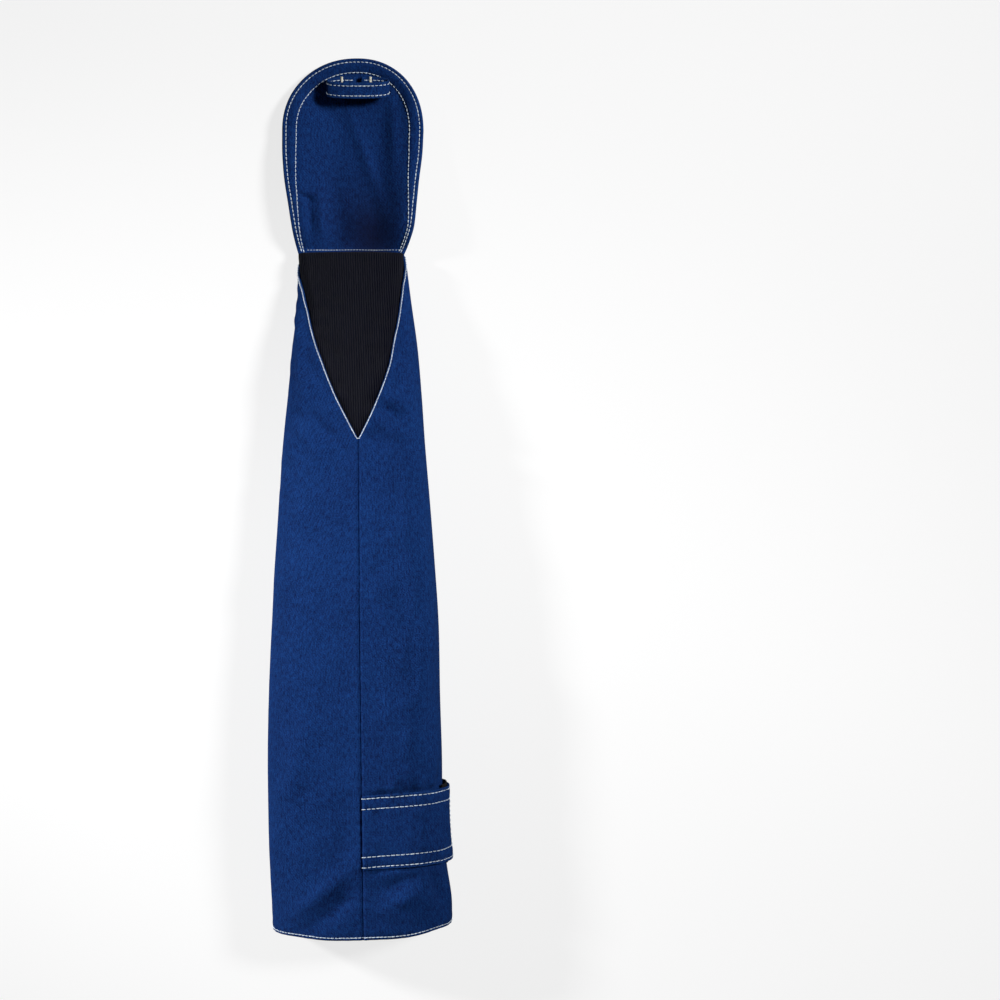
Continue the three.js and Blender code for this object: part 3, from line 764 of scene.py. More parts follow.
cover = {
    "wall": 2.0, "rimWall": 2.9, "tip": 300.0, "apex": -1.9, "arch": 2.15,
    "corner": math.pi / 4, "sideShare": 0.68, "base": 157.0, "tuck": 1.7,
    "dishLeft": 0.1, "dishRight": 0.34, "dishEnd": 0.86, "tipStart": 0.78, "tipEnd": 0.98, "tipCurl": 0.25,
    # the last value on the next line caps the painted shade on the cover
    "outerRow": 2.7, "innerRow": 9.6, "innerRowWrist": 3.9, "paintedShadeMost": 0.85,
    "rimPuff": 0.35, "outerDepth": 0.4, "innerDepth": 0.35, "rowWidth": 0.75,
    "foldLow": 166.0, "foldHigh": 186.0, "tuckLow": 165.5, "tuckHigh": 169.0,
    "ripple": 0.35, "rippleShift": 1.2, "rippleLow": 168.0, "rippleHigh": 190.0,
    "gridWidth": 96.0, "widthStep": 0.72, "gridLength": 143.0, "lengthStep": 0.82,
}
rimTurn = {  # where the rim starts and ends to widen, on the left and on the right
    "xLeft": -15.0, "xRight": 5.0,
    "lowLeft": 158.0, "lowRight": 172.0, "highLeft": 248.0, "highRight": 246.0,
}
wristSeam = {
    "left": -36.0, "right": 26.5, "y": 167.2, "bow": 0.9, "bowAt": -4.0, "bowWidth": 24.0,
    "fromEdge": 20.0, "sink": 0.05,
}
coverSections = [
    {"y": 157, "left": -39.5, "right": 26.4, "curl": 2.6, "curlRight": 1.6},
    {"y": 165.4, "left": -42.9, "right": 30.6, "curl": 4.8, "curlRight": 4.5},
    {"y": 175, "left": -45.4, "right": 34.8, "curl": 9, "curlRight": 11.5},
    {"y": 183, "left": -46.9, "right": 37.3, "curl": 11.5, "curlRight": 14.5},
    {"y": 200, "left": -49.5, "right": 39.1, "curl": 12.5, "curlRight": 13.5},
    {"y": 216, "left": -52, "right": 40.6, "curl": 12, "curlRight": 10},
    {"y": 233, "left": -53.4, "right": 42.6, "curl": 10.5, "curlRight": 7},
    {"y": 249, "left": -53.7, "right": 43.4, "curl": 8, "curlRight": 5.5},
]
coverFolds = [
    {"y": 228, "x": 4.5, "run": 36, "reach": 4.2, "lean": -19, "out": 1.8},
    {"y": 248, "x": 22.5, "run": 30, "reach": 5, "lean": -1, "out": 2.2},
    {"y": 192, "x": -27, "run": 18, "reach": 3.3, "lean": -2, "out": 3.8},
    {"y": 188, "x": -34.5, "run": 17, "reach": 3, "lean": -3, "out": -3.0},
    {"y": 203, "x": -38, "run": 6.5, "reach": 2.4, "lean": -66, "out": -3.6},
]
# painted shade: where the cover's cloth is darkened in place of shade, strongest at the lower right by the
# wrist
coverPaintedShade = [
    {"y": 176, "x": 9, "run": 24, "reach": 18, "lean": 0, "out": 0.62},
    {"y": 190, "x": -4, "run": 34, "reach": 26, "lean": 0, "out": 0.3},
]
shoulder = coverSections[-1]
coverTall = cover["tip"] - shoulder["y"]
coverWaves = drawWaves(9, 20.0, 60.0)


def coverArch(angle):
    bow = 2 / cover["arch"]
    across = np.cos(angle)
    reach = np.where(across < 0, cover["apex"] - shoulder["left"], shoulder["right"] - cover["apex"])
    x = cover["apex"] + reach * np.sign(across) * np.abs(across) ** bow
    return np.stack([x, shoulder["y"] + coverTall * np.abs(np.sin(angle)) ** bow], -1)


def coverSide(side, share):
    y = mix(cover["base"], shoulder["y"], np.clip(share / cover["sideShare"], 0, 1))
    straight = np.stack([tableValue(coverSections, "y", side, y), y], -1)
    turn = cover["corner"] * np.clip((share - cover["sideShare"]) / (1 - cover["sideShare"]), 0, 1)
    arch = coverArch(turn if side == "right" else math.pi - turn)
    return np.where((share < cover["sideShare"])[..., None], straight, arch)


def coverPlan(share, row):
    # plan blended from the four edges
    s, r = share[None, :, None], row[:, None, None]
    left, right = coverSide("left", row)[:, None], coverSide("right", row)[:, None]
    tip = coverArch(mix(math.pi - cover["corner"], cover["corner"], share))[None]
    base = mix(left[:1], right[:1], s)
    return mix(left, right, s) + mix(base, tip, r) - mix(base, mix(left[-1:], right[-1:], s), r)


def coverOutline(count):
    side = np.linspace(0, 1, count)
    tip = coverArch(np.linspace(math.pi - cover["corner"], cover["corner"], count))
    return np.concatenate([coverSide("left", side), tip[1:-1], coverSide("right", side[::-1])])


def innerRowAt(x, y):
    # the rim narrows towards the wrist, later on the left than on the right
    toRight = ease(x, rimTurn["xLeft"], rimTurn["xRight"])
    low = mix(rimTurn["lowLeft"], rimTurn["lowRight"], toRight)
    high = mix(rimTurn["highLeft"], rimTurn["highRight"], toRight)
    share = ease(y, low, high)
    return mix(cover["innerRowWrist"], cover["innerRow"], share)


def edgeDistance(x, y):
    line = coverOutline(140)
    flat = np.stack([x.ravel(), y.ravel()], -1)
    best = np.full(len(flat), 1e9)
    for a, b in zip(line[:-1], line[1:]):
        run = b - a
        t = np.clip(((flat - a) @ run) / (run @ run), 0, 1)
        best = np.minimum(best, np.hypot(*(flat - a - t[:, None] * run).T))
    return best.reshape(x.shape)


def coverFaces(x, y, distance):
    # heights of the palm face and the back face
    up = np.clip((y - shoulder["y"]) / coverTall, 0, 1)
    left = tableValue(coverSections, "y", "left", y)
    right = tableValue(coverSections, "y", "right", y)
    middle = mix((left + right) / 2, cover["apex"], ease(y, shoulder["y"] - 40, shoulder["y"]))
    across = np.abs(x - middle) / np.where(x < middle, middle - left, right - middle)
    share = np.clip((across ** cover["arch"] + up ** cover["arch"]) ** (1 / cover["arch"]), 0, 1)
    toRight = ease(x, left, right)
    curlLeft = tableValue(coverSections, "y", "curl", y)
    curlRight = tableValue(coverSections, "y", "curlRight", y)
    curl = mix(curlLeft, curlRight, toRight) * mix(1.0, cover["tipCurl"], ease(up, 0.1, 0.9))
    toTip = ease(up, 0.0, 0.6)
    start = mix(mix(cover["dishLeft"], cover["dishRight"], toRight), cover["tipStart"], toTip)
    back = curl * ease(share, start, mix(cover["dishEnd"], cover["tipEnd"], toTip))
    free = ease(y, cover["foldLow"], cover["foldHigh"]) * (1 - share ** 4)
    back = back + foldHeight(coverFolds, x, y, "x") * free
    ripple = cover["ripple"] * (waveHeight(coverWaves, x, y) + cover["rippleShift"])
    back = back + ripple * ease(y, cover["rippleLow"], cover["rippleHigh"])
    back = np.maximum(back, 0) + cover["tuck"] * (1 - ease(y, cover["tuckLow"], cover["tuckHigh"]))
    row = innerRowAt(x, y)
    rim = 1 - ease(distance, row - 0.4, row + 0.8)
    wall = mix(cover["wall"], cover["rimWall"], rim)
    betweenRows = np.clip((distance - cover["outerRow"]) / (row - cover["outerRow"]), 0, 1)
    puff = cover["rimPuff"] * np.sin(betweenRows * math.pi)
    sewn = -cover["outerDepth"] * bump(distance, cover["outerRow"], cover["rowWidth"])
    sewn = sewn - cover["innerDepth"] * bump(distance, row, cover["rowWidth"])
    rounding = roundEdge(np.minimum(distance, y - cover["base"]), wall)
    palmFace = back + wall / 2 * (1 + rounding) + (puff + sewn) * rounding
    backFace = back + wall / 2 * (1 - rounding) - 0.5 * sewn
    return palmFace, backFace


def makeCover():
    share = edgeSteps(cover["gridWidth"], coverFine, cover["widthStep"]) / cover["gridWidth"]
    row = edgeSteps(cover["gridLength"], coverFine, cover["lengthStep"]) / cover["gridLength"]
    plan = coverPlan(share, row)
    x, y = plan[..., 0], plan[..., 1]
    distance = edgeDistance(x, y)
    distance[:, 0] = distance[:, -1] = distance[-1] = 0.0
    top, back = coverFaces(x, y, distance)
    fade = 0.2 * bump(distance, 0.4, 1.1)
    # painted shade from the table above, kept off the rim
    paintedShadeMask = np.clip(foldHeight(coverPaintedShade, x, y, "x"), 0.0, cover["paintedShadeMost"]) * ease(distance, 3.0, 9.0)
    outer, inner = np.stack([x, y, top], -1), np.stack([x, y, back], -1)
    return closedSheet("handCover", outer, inner, plan, blueTwill, fade, paintedShadeMask)


handCover = makeCover()
print("hand cover", len(handCover.data.polygons), "faces")


# finger loop: band bent to a flat leaning ring

loop = {
    "x": -1.6, "y": 282.0, "floor": 4.3, "halfWidth": 20.8, "halfHeight": 4.6, "band": 11.0, "wall": 1.7,
    "bow": 0.8, "press": 1.12, "lean": 0.6, "endAngle": 0.05, "row": 3.4,
    "gridLength": 110.0, "lengthStep": 0.6, "widthStep": 0.5,
}


def loopPoint(share, side, out):
    # along the band from end to end, across its width, out from its middle layer
    turn = mix(-math.pi / 2 - loop["endAngle"], -2.5 * math.pi + loop["endAngle"], share)
    across = np.sign(np.cos(turn)) * np.abs(np.cos(turn)) ** loop["bow"]
    rise = np.abs(np.sin(turn)) ** loop["bow"]
    up = np.where(np.sin(turn) >= 0, rise, -np.minimum(1, loop["press"] * rise))
    height = (loop["halfHeight"] + out) * up + loop["halfHeight"] + loop["wall"] / 2
    y = loop["y"] + side - loop["lean"] * height
    return np.stack([loop["x"] + (loop["halfWidth"] + out) * across, y, loop["floor"] + height], -1)


def makeLoop():
    share = edgeSteps(loop["gridLength"], edgeFine, loop["lengthStep"])[None] / loop["gridLength"]
    side = edgeSteps(loop["band"], edgeFine, loop["widthStep"])[:, None] - loop["band"] / 2
    share, side = np.broadcast_arrays(share, side)
    fromEnd = np.minimum(share, 1 - share) * loop["gridLength"]
    distance = np.minimum(loop["band"] / 2 - np.abs(side), fromEnd)
    rounding = roundEdge(distance, loop["wall"])
    sewn = 0.28 * bump(np.abs(side), loop["row"], 0.6)
    outer = loopPoint(share, side, loop["wall"] / 2 * rounding - sewn * rounding)
    inner = loopPoint(share, side, -loop["wall"] / 2 * rounding + sewn * rounding)
    fade = 0.25 * bump(distance, 0.3, 0.8)
    place = np.stack([share * loop["gridLength"], side], -1)
    return closedSheet("fingerLoop", outer, inner, place, blueTwill, fade)


fingerLoop = makeLoop()
print("finger loop", len(fingerLoop.data.polygons), "faces")


# strap, its hook tape, the loop patch and the label

hookTape = {"width": 49.0, "start": 62.0, "end": 85.5, "yShift": 2.4, "wall": 1.2, "gap": 0.1}
loopPatch = {
    "width": 50.0, "start": 66.0, "end": 160.0, "yStart": -226.0, "yEnd": -232.0,
    "wall": 1.2, "gap": 0.2, "rowInset": 2.8,
}
backLabel = {
    "start": 112.0, "end": 172.0, "yLow": -203.0, "yHigh": -165.0, "skew": 3.0,
    "wall": 0.6, "gap": 0.2,
}


def strapOff(way):
    ramp = strap["standOff"] * ease(way, strap["rampStart"], strap["rampEnd"])
    tucked = strap["tuck"] * (1 - ease(way, strap["tuckFrom"], strap["tuckTo"]))
    return strap["gap"] + ramp - tucked


def stripSheet(name, ways, sides, height, off, wall, material, fadeStrength=0.2, sewn=None):
    # a strip round the sleeve: the way round in columns, across the strip in rows
    way, side = np.broadcast_arrays(ways[None], sides[:, None])
    y = height(way) + side
    span = np.minimum(way - ways[0], ways[-1] - way)
    distance = np.minimum(span, np.minimum(side - sides[0], sides[-1] - side))
    rounding = roundEdge(distance, wall)
    groove = sewn(way, side) * rounding if sewn else 0.0
    outer = onSleeve(y, way, off(way) + wall / 2 * (1 + rounding) + groove)
    inner = onSleeve(y, way, off(way) + wall / 2 * (1 - rounding))
    fade = fadeStrength * bump(distance, 0.3, 0.9)
    return closedSheet(name, outer, inner, np.stack([way, y], -1), material, fade)


strapRows = [-23.0, -16.0, 16.0, 23.0]
strapEnds = [{"fromEnd": 2.4, "reach": 23.0}, {"fromEnd": 9.4, "reach": 16.0}]


def strapSewn(way, side):
    groove = sum(-strap["rowDepth"] * bump(side, row, strap["rowWidth"]) for row in strapRows)
    low, high = (bump(side, at, strap["puffWidth"]) for at in (-strap["puffAt"], strap["puffAt"]))
    puff = strap["puff"] * (low + high)
    wave = strap["wave"] * np.sin(way * strap["waveRate"] + side * strap["waveLean"])
    return groove + puff + wave * bump(side, 0, strap["waveWidth"])


def makeStrap():
    ways = strap["start"] + edgeSteps(strap["end"] - strap["start"], edgeFine, 0.7)
    sides = edgeSteps(strap["width"], edgeFine, 0.55) - strap["width"] / 2
    wall = strap["wall"]
    return stripSheet("armStrap", ways, sides, strapMiddle, strapOff, wall, blueTwill, sewn=strapSewn)


def hookMiddle(way):
    return strapMiddle(way) + hookTape["yShift"]


def hookOff(way):
    return strapOff(way) - hookTape["wall"] - hookTape["gap"]


def makeHookTape():
    ways = hookTape["start"] + edgeSteps(hookTape["end"] - hookTape["start"], tapeFine, 0.8)
    sides = edgeSteps(hookTape["width"], tapeFine, 0.9) - hookTape["width"] / 2
    return stripSheet("hookTape", ways, sides, hookMiddle, hookOff, hookTape["wall"], blackTape)


def patchMiddle(way):
    share = (way - loopPatch["start"]) / (loopPatch["end"] - loopPatch["start"])
    return mix(loopPatch["yStart"], loopPatch["yEnd"], share)


def patchOff(way):
    return np.full(way.shape, loopPatch["gap"])


def makePatch():
    ways = loopPatch["start"] + edgeSteps(loopPatch["end"] - loopPatch["start"], tapeFine, 0.9)
    sides = edgeSteps(loopPatch["width"], tapeFine, 0.9) - loopPatch["width"] / 2
    return stripSheet("loopPatch", ways, sides, patchMiddle, patchOff, loopPatch["wall"], blackTape)


def labelMiddle(way):
    share = (way - backLabel["start"]) / (backLabel["end"] - backLabel["start"])
    return (backLabel["yLow"] + backLabel["yHigh"]) / 2 - backLabel["skew"] * share


def labelOff(way):
    return np.full(way.shape, backLabel["gap"])


def makeLabel():
    tall = backLabel["yHigh"] - backLabel["yLow"]
    ways = backLabel["start"] + edgeSteps(backLabel["end"] - backLabel["start"], labelFine, 1.0)
    sides = edgeSteps(tall, labelFine, 1.0) - tall / 2
    return stripSheet("blankLabel", ways, sides, labelMiddle, labelOff, backLabel["wall"], whiteLabel, 0.0)


armStrap = makeStrap()
hookStrip = makeHookTape()
patchStrip = makePatch()
labelStrip = makeLabel()
print("strap, tapes and label made")


# sewing threads and elastic cords, laid along paths by geometry nodes

stitchInputs = [
    ("Pitch", "NodeSocketFloat", 0.0028),
    ("Length", "NodeSocketFloat", 0.0022),
    ("Radius", "NodeSocketFloat", 0.0003),
    ("Rise", "NodeSocketFloat", 0.0003),
    ("Sink", "NodeSocketFloat", 0.0003),
    ("Slant", "NodeSocketFloat", 0.0),
    ("Wobble", "NodeSocketFloat", 0.08),
    ("Seed", "NodeSocketInt", 1),
    ("Thread", "NodeSocketMaterial", None),
]
cordInputs = [
    ("Step", "NodeSocketFloat", 0.003),
    ("Radius", "NodeSocketFloat", 0.0007),
    ("Seed", "NodeSocketInt", 1),
    ("Thread", "NodeSocketMaterial", None),
]


def newShapeTree(name, inputs):
    tree = bpy.data.node_groups.new(name, "GeometryNodeTree")
    tree.interface.new_socket("Path", in_out="INPUT", socket_type="NodeSocketGeometry")
    for title, kind, value in inputs:
        socket = tree.interface.new_socket(title, in_out="INPUT", socket_type=kind)
        if value is not None:
            socket.default_value = value
    tree.interface.new_socket("Made", in_out="OUTPUT", socket_type="NodeSocketGeometry")
    return tree, tree.nodes.new("NodeGroupInput").outputs, tree.nodes.new("NodeGroupOutput").inputs


def randomFloat(tree, low, high, seed):
    return put(tree, "FunctionNodeRandomValue", {2: low, 3: high, 8: seed}, data_type="FLOAT").outputs[1]


def finishTree(tree, shape, given, out):
    # thread shade, one plain mesh, smooth faces and the material
    shade = randomFloat(tree, 0.0, 1.0, given["Seed"])
    stored = {"Geometry": shape, "Name": "threadShade", "Value": shade}
    kept = put(tree, "GeometryNodeStoreNamedAttribute", stored)
    kept.domain = "INSTANCE"
    real = put(tree, "GeometryNodeRealizeInstances", {"Geometry": kept.outputs[0]}).outputs[0]
    smooth = put(tree, "GeometryNodeSetShadeSmooth", {"Geometry": real}).outputs[0]
    dressed = put(tree, "GeometryNodeSetMaterial", {"Geometry": smooth, "Material": given["Thread"]})
    tree.links.new(dressed.outputs[0], out["Made"])


def stitchTree():
    tree, given, out = newShapeTree("stitchRow", stitchInputs)
    half = calc(tree, "MULTIPLY", given["Length"], 0.5)
    down = calc(tree, "MULTIPLY", given["Sink"], -1.0)
    peak = calc(tree, "ADD", calc(tree, "MULTIPLY", given["Rise"], 2.0), given["Sink"])
    start = put(tree, "ShaderNodeCombineXYZ", {0: calc(tree, "MULTIPLY", half, -1.0), 2: down}).outputs[0]
    middle = put(tree, "ShaderNodeCombineXYZ", {2: peak}).outputs[0]
    end = put(tree, "ShaderNodeCombineXYZ", {0: half, 2: down}).outputs[0]
    bend = {"Resolution": 5, "Start": start, "Middle": middle, "End": end}
    arc = put(tree, "GeometryNodeCurveQuadraticBezier", bend)
    ring = put(tree, "GeometryNodeCurvePrimitiveCircle", {"Resolution": 6, "Radius": given["Radius"]})
    thread = put(tree, "GeometryNodeCurveToMesh", {0: arc.outputs[0], 1: ring.outputs[0], "Fill Caps": True})
    curve = put(tree, "GeometryNodeMeshToCurve", {"Mesh": given["Path"]}).outputs[0]
    row = put(tree, "GeometryNodeResampleCurve", {"Curve": curve, "Length": given["Pitch"]}, mode="LENGTH")
    faceUp = put(tree, "GeometryNodeInputNamedAttribute", {"Name": "faceUp"}, data_type="FLOAT_VECTOR")
    tangent = put(tree, "GeometryNodeInputTangent").outputs[0]
    upright = put(tree, "FunctionNodeAlignRotationToVector", {"Vector": faceUp.outputs[0]}, axis="Z")
    turn = {"Rotation": upright.outputs[0], "Vector": tangent}
    along = put(tree, "FunctionNodeAlignRotationToVector", turn, axis="X")
    along.pivot_axis = "Z"
    sway = calc(tree, "MULTIPLY", given["Wobble"], randomFloat(tree, -1.0, 1.0, given["Seed"]))
    angle = calc(tree, "ADD", given["Slant"], sway)
    lean = put(tree, "FunctionNodeAxisAngleToRotation", {"Axis": (0, 0, 1), "Angle": angle}).outputs[0]
    turned = put(tree, "FunctionNodeRotateRotation", {0: along.outputs[0], 1: lean}, rotation_space="LOCAL")
    size = randomFloat(tree, 0.9, 1.08, calc(tree, "ADD", given["Seed"], 5.0))
    laid = put(tree, "GeometryNodeInstanceOnPoints", {
        "Points": row.outputs[0], "Instance": thread.outputs[0],
        "Rotation": turned.outputs[0], "Scale": size,
    })
    finishTree(tree, laid.outputs[0], given, out)
    return tree


def cordTree():
    tree, given, out = newShapeTree("elasticCords", cordInputs)
    curve = put(tree, "GeometryNodeMeshToCurve", {"Mesh": given["Path"]}).outputs[0]
    row = put(tree, "GeometryNodeResampleCurve", {"Curve": curve, "Length": given["Step"]}, mode="LENGTH")
    ring = put(tree, "GeometryNodeCurvePrimitiveCircle", {"Resolution": 6, "Radius": given["Radius"]})
    cord = put(tree, "GeometryNodeCurveToMesh", {0: row.outputs[0], 1: ring.outputs[0], "Fill Caps": True})
    finishTree(tree, cord.outputs[0], given, out)
    return tree


stitchRow = stitchTree()
elasticCords = cordTree()


def layAlong(name, rows, tree, settings):
    # rows are pairs of points and the directions they face, in mm
    points = np.concatenate([row[0] for row in rows]) * mm
    facing = np.concatenate([np.broadcast_to(row[1], row[0].shape) for row in rows])
    edges = []
    first = 0
    for row in rows:
        edges += [(first + i, first + i + 1) for i in range(len(row[0]) - 1)]
        first += len(row[0])
    path = bpy.data.meshes.new(name + "Path")
    path.from_pydata(points.tolist(), edges, [])
    faceUp = path.attributes.new("faceUp", "FLOAT_VECTOR", "POINT")
    faceUp.data.foreach_set("vector", facing.astype(np.float32).ravel())
    source = bpy.data.objects.new(name + "Path", path)
    bpy.context.collection.objects.link(source)
    modifier = source.modifiers.new("lay", "NODES")
    modifier.node_group = tree
    for item in tree.interface.items_tree:
        if item.in_out == "INPUT" and item.name in settings:
            modifier[item.identifier] = settings[item.name]
    shown = source.evaluated_get(bpy.context.evaluated_depsgraph_get())
    mesh = bpy.data.meshes.new_from_object(shown)
    mesh.name = name
    source.modifiers.remove(modifier)
    bpy.data.objects.remove(source)
    made = bpy.data.objects.new(name, mesh)
    bpy.context.collection.objects.link(made)
    print(name, len(mesh.polygons), "faces")
    return made


def unit(vectors):
    return vectors / np.linalg.norm(vectors, axis=-1, keepdims=True)


def coverRow(inset, face, low):
    # a row that keeps its distance from the cover's outline
    line = coverOutline(160)
    line = line[np.concatenate([[True], np.hypot(*np.diff(line, axis=0).T) > 1e-6])]
    along = unit(np.gradient(line, axis=0))
    inward = np.stack([along[:, 1], -along[:, 0]], -1)
    gap = inset(line[:, 0], line[:, 1])
    middle = line + inward * gap[:, None]
    heights = []
    for shift in (-0.6, 0.0, 0.6):
        at = middle + inward * shift
        heights.append(coverFaces(at[:, 0], at[:, 1], gap + shift)[face])
    slope = ((heights[2] - heights[0]) / 1.2)[:, None]
    facing = unit(np.concatenate([-inward * slope, np.ones_like(slope)], axis=1))
    points = np.concatenate([middle, heights[1][:, None]], axis=1)
    kept = middle[:, 1] > low
    return points[kept], facing[kept] * (1 if face == 0 else -1)


def coverWristRow():
    x = np.linspace(wristSeam["left"], wristSeam["right"], 120)
    y = wristSeam["y"] + wristSeam["bow"] * bump(x, wristSeam["bowAt"], wristSeam["bowWidth"])
    top = coverFaces(x, y, np.full(x.shape, wristSeam["fromEdge"]))[0]
    return np.stack([x, y, top - wristSeam["sink"]], -1), (0.0, 0.0, 1.0)


def outerRowAt(x, y):
    return np.full(y.shape, cover["outerRow"])


def coverRows(face, low):
    return [coverRow(outerRowAt, face, low), coverRow(innerRowAt, face, low)]


def sleeveRow(y, way, out):
    y, way, out = np.broadcast_arrays(np.asarray(y, float), np.asarray(way, float), np.asarray(out, float))
    return onSleeve(y, way, out), sleeveNormal(y, way)


def gussetRow(inset):
    # down the left of the cut-out and up the right, a little outside its edge
    y = np.linspace(gussetEdges[0]["y"] + 0.4, tube["wristEnd"] - 2.0, 120)
    rows = []
    for side, column in ((-1, "left"), (1, "right")):
        reach = tableValue(gussetEdges, "y", column, y)
        steep = np.gradient(reach, y)
        shift = inset / np.sqrt(1 + steep ** 2)
        rows.append((y - shift * steep, side * (reach + shift)))
    down, up = rows
    y = np.concatenate([down[0][::-1], up[0]])
    way = np.concatenate([down[1][::-1], up[1]])
    return sleeveRow(y, way, -0.2)


def hemRow():
    share = np.linspace(0.0, 1.0, 400)
    y = tableValue(mouthCut, "share", "y", share) + hem["row"]
    return sleeveRow(y, share * lengthAt(y), -0.25)


def loopRow(side, face, low, high):
    share = np.linspace(low, high, 160)
    out = face * (loop["wall"] / 2 - 0.2)
    points = loopPoint(share, side + 0 * share, out)
    return points, unit(loopPoint(share, side + 0 * share, out + 0.5 * face) - points)


def strapRow(side):
    way = np.linspace(strap["start"] + 0.8, strap["end"] - 2.4, 120)
    return sleeveRow(strapMiddle(way) + side, way, strapOff(way) + strap["wall"] - 0.25)


def strapEndRow(fromEnd, reach):
    side = np.linspace(-reach, reach, 60)
    way = strap["end"] - fromEnd + 0 * side
    return sleeveRow(strapMiddle(way) + side, way, strapOff(way) + strap["wall"] - 0.1)


def patchRows():
    inset, half = loopPatch["rowInset"], loopPatch["width"] / 2
    out = loopPatch["gap"] + loopPatch["wall"] - 0.05
    way = np.linspace(loopPatch["start"] + inset, loopPatch["end"] - inset, 140)
    side = np.linspace(inset - half, half - inset, 60)
    last = loopPatch["end"] - inset + 0 * side
    wander = 0.25 * np.sin(way * 0.7) + 0.2 * np.sin(way * 1.9)
    return [
        sleeveRow(patchMiddle(way) + half - inset + wander, way, out),
        sleeveRow(patchMiddle(way) - half + inset - wander, way, out),
        sleeveRow(patchMiddle(last) + side, last + 0.2 * np.sin(side), out),
    ]


def wristRows():
    # round the back, from one side of the gusset to the other
    at = tube["wristEnd"] - 2.0
    first = tableValue(gussetEdges, "y", "right", at)
    last = lengthAt(at) - tableValue(gussetEdges, "y", "left", at)
    back = np.linspace(first, last, 160)
    return [sleeveRow(at - 0.4, back, -0.15)]


def ribLines():
    rows = []
    lowest = gussetEdges[0]["y"]
    ys = np.arange(30.0, tube["wristEnd"], 0.5)
    for number in range(gusset["firstRib"], gusset["lastRib"] + 1):
        way = number * gusset["ribPitch"]
        reach = tableValue(gussetEdges, "y", "left" if way < 0 else "right", ys)
        bare = ys[reach > abs(way) - 3.0]
        if len(bare) < 12:
            continue
        y = np.linspace(max(bare[0], lowest - 3.0), tube["wristEnd"] - 0.5, 60)
        rows.append(sleeveRow(y, way, gussetOut(y, np.full(y.shape, way)) - gusset["ribSink"]))
    return rows


tacks = {"xs": (-13.0, 6.7), "loopLow": 279.5, "loopHigh": 286.6, "backLow": 274.5, "backHigh": 286.0}


def tackRows():
    # bars inside the loop's ends, then the same on the back of the cover
    onLoop, onBack = [], []
    for x in tacks["xs"]:
        y = np.linspace(tacks["loopLow"], tacks["loopHigh"], 14)
        across = np.full(y.shape, x)
        level = np.full(y.shape, loop["floor"] + loop["wall"])
        onLoop.append((np.stack([across, y, level], -1), (0.0, 0.0, 1.0)))
        y = np.linspace(tacks["backLow"], tacks["backHigh"], 24)
        across = np.full(y.shape, x)
        height = coverFaces(across, y, np.full(y.shape, 14.0))[1]
        onBack.append((np.stack([across, y, height], -1), (0.0, 0.0, -1.0)))
    return onLoop + onBack


def loopRows():
    spans = ((1, 0.1, 0.9), (-1, 0.02, 0.32), (-1, 0.68, 0.98))  # face, then where it starts and ends
    return [loopRow(side, *span) for side in (-loop["row"], loop["row"]) for span in spans]


def strapAllRows():
    ends = [strapEndRow(row["fromEnd"], row["reach"]) for row in strapEnds]
    return [strapRow(side) for side in strapRows] + ends


elasticCord = threadMaterial("elasticCord", (0.0009, 0.0012, 0.0048), (0.0025, 0.0032, 0.0118))
plainStitch = {
    "Pitch": 0.0028, "Length": 0.0023, "Radius": 0.00031, "Rise": 0.0003, "Sink": 0.00035,
    "Wobble": 0.07, "Thread": whiteThread,
}
coverStitch = {**plainStitch, "Seed": 3}
wristStitch = {
    **plainStitch, "Pitch": 0.002, "Length": 0.0017, "Radius": 0.00019, "Rise": 0.00018, "Seed": 11,
}
gussetStitch = {**plainStitch, "Pitch": 0.0024, "Length": 0.00205, "Seed": 4}
hemStitch = {**plainStitch, "Pitch": 0.0026, "Length": 0.0023, "Seed": 5}
loopStitch = {**plainStitch, "Seed": 6}
tackStitch = {
    "Pitch": 0.00048, "Length": 0.0016, "Radius": 0.00028, "Rise": 0.0005, "Sink": 0.0003,
    "Slant": 1.35, "Thread": creamThread, "Seed": 7,
}
strapStitch = {**plainStitch, "Pitch": 0.0032, "Length": 0.0027, "Seed": 8}
patchStitch = {**plainStitch, "Pitch": 0.0031, "Length": 0.0027, "Seed": 9}
ribCord = {
    "Step": gusset["ribStep"] * mm, "Radius": gusset["ribRadius"] * mm, "Seed": 10, "Thread": elasticCord,
}

coverStitches = layAlong("coverStitches", coverRows(0, 166.5) + coverRows(1, 165.8), stitchRow, coverStitch)
wristStitches = layAlong("wristStitches", [coverWristRow()], stitchRow, wristStitch)
gussetStitches = layAlong("gussetStitches", [gussetRow(cutEdge["row"])], stitchRow, gussetStitch)
hemStitches = layAlong("hemStitches", [hemRow()] + wristRows(), stitchRow, hemStitch)
loopStitches = layAlong("loopStitches", loopRows(), stitchRow, loopStitch)
loopTacks = layAlong("loopTacks", tackRows(), stitchRow, tackStitch)
strapStitches = layAlong("strapStitches", strapAllRows(), stitchRow, strapStitch)
patchStitches = layAlong("patchStitches", patchRows(), stitchRow, patchStitch)
gussetRibs = layAlong("gussetRibs", ribLines(), elasticCords, ribCord)
print("threads laid")
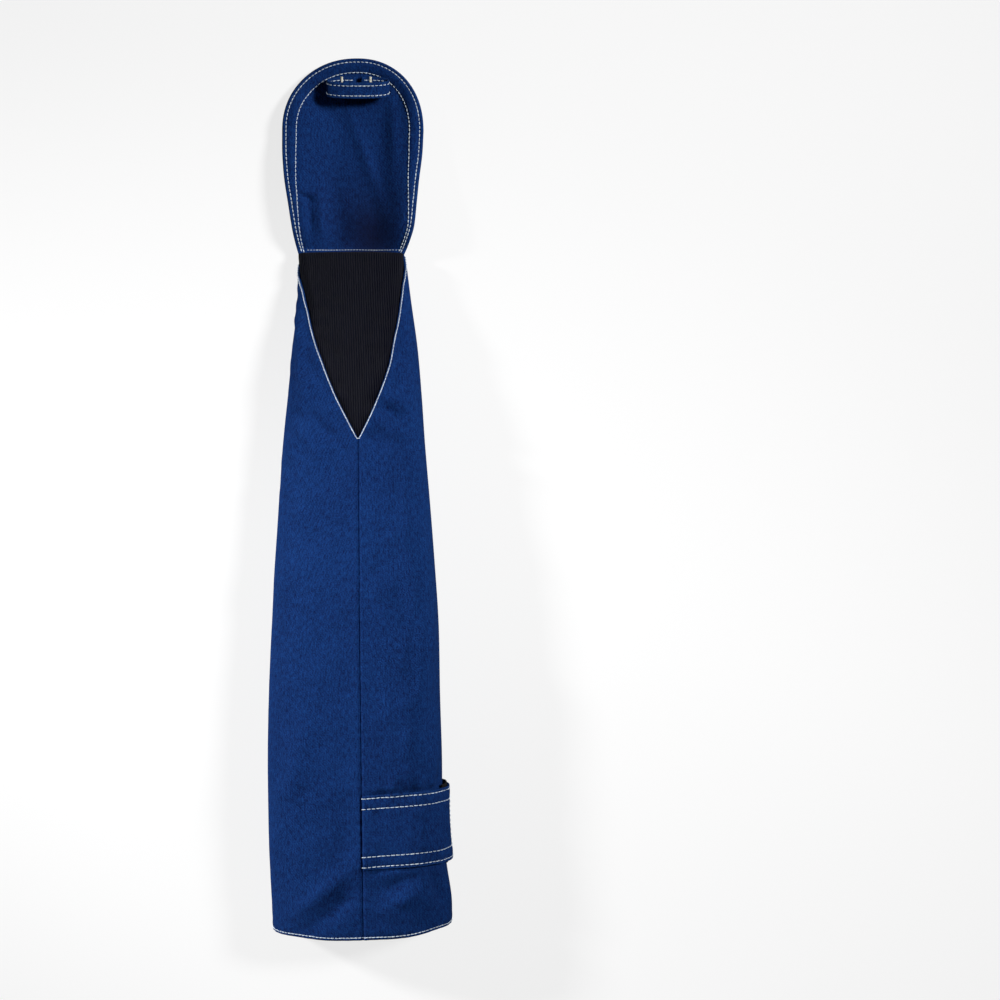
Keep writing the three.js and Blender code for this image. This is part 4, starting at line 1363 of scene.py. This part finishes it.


# cut areas of the sheets; each piece and its threads are attached to the root body, and the CAD part it
# stands for is hidden

def areaUnder(widths, along):
    return np.sum((widths[1:] + widths[:-1]) / 2 * np.diff(along, axis=0), axis=0)


def sleeveCut():
    # the panel laid flat: plain girths of the sections, from the mouth's cut to the wrist's edge
    shares = np.linspace(0, 1, 401)
    mouth = tableValue(mouthCut, "share", "y", shares)
    y = mix(mouth[None], wristEdge(shares)[None], np.linspace(0, 1, 401)[:, None])
    return float(areaUnder(areaUnder(lengthAt(y), y), shares)) * mm * mm


def gussetCut():
    y = np.linspace(gussetEdges[0]["y"] - gusset["lap"], tube["wristEnd"], 401)
    width = tableValue(gussetEdges, "y", "left", y) + tableValue(gussetEdges, "y", "right", y)
    return float(areaUnder(width + 2 * gusset["lap"], y)) * mm * mm


def coverCut():
    # the outline's plan, without the curl
    x, y = coverOutline(160).T
    return float(abs(np.dot(x, np.roll(y, 1)) - np.dot(y, np.roll(x, 1)))) / 2 * mm * mm


sheets = [
    (sleeveCloth, "sleeve_body", "blue_twill", (0.302, 0.468), "folded", sleeveCut()),
    (gussetElastic, "wrist_gusset", "black_elastic", (0.113, 0.136), "stretched", gussetCut()),
    (handCover, "hand_cover", "blue_twill", (0.098, 0.144), "laid", coverCut()),
    (fingerLoop, "finger_loop", "blue_twill", (0.011, 0.1), "folded", None),
    (armStrap, "arm_strap", "blue_twill", (0.05, 0.087), "laid", None),
    (hookStrip, "strap_hook_tape", "black_tape", (0.024, 0.049), "laid", None),
    (patchStrip, "loop_patch", "black_tape", (0.05, 0.094), "laid", None),
    (labelStrip, "blank_label", "white_label", (0.038, 0.06), "laid", None),
]
sewnOn = {
    "sleeveCloth": [gussetStitches, hemStitches],
    "gussetElastic": [gussetRibs],
    "handCover": [coverStitches, wristStitches],
    "fingerLoop": [loopStitches, loopTacks],
    "armStrap": [strapStitches],
    "loopPatch": [patchStitches],
}
for piece, node, slot, flat, held, cut in sheets:
    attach(piece, "root")
    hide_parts(node)
    threads = sewnOn.get(piece.name, [])
    for thread in threads:
        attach(thread, "root")
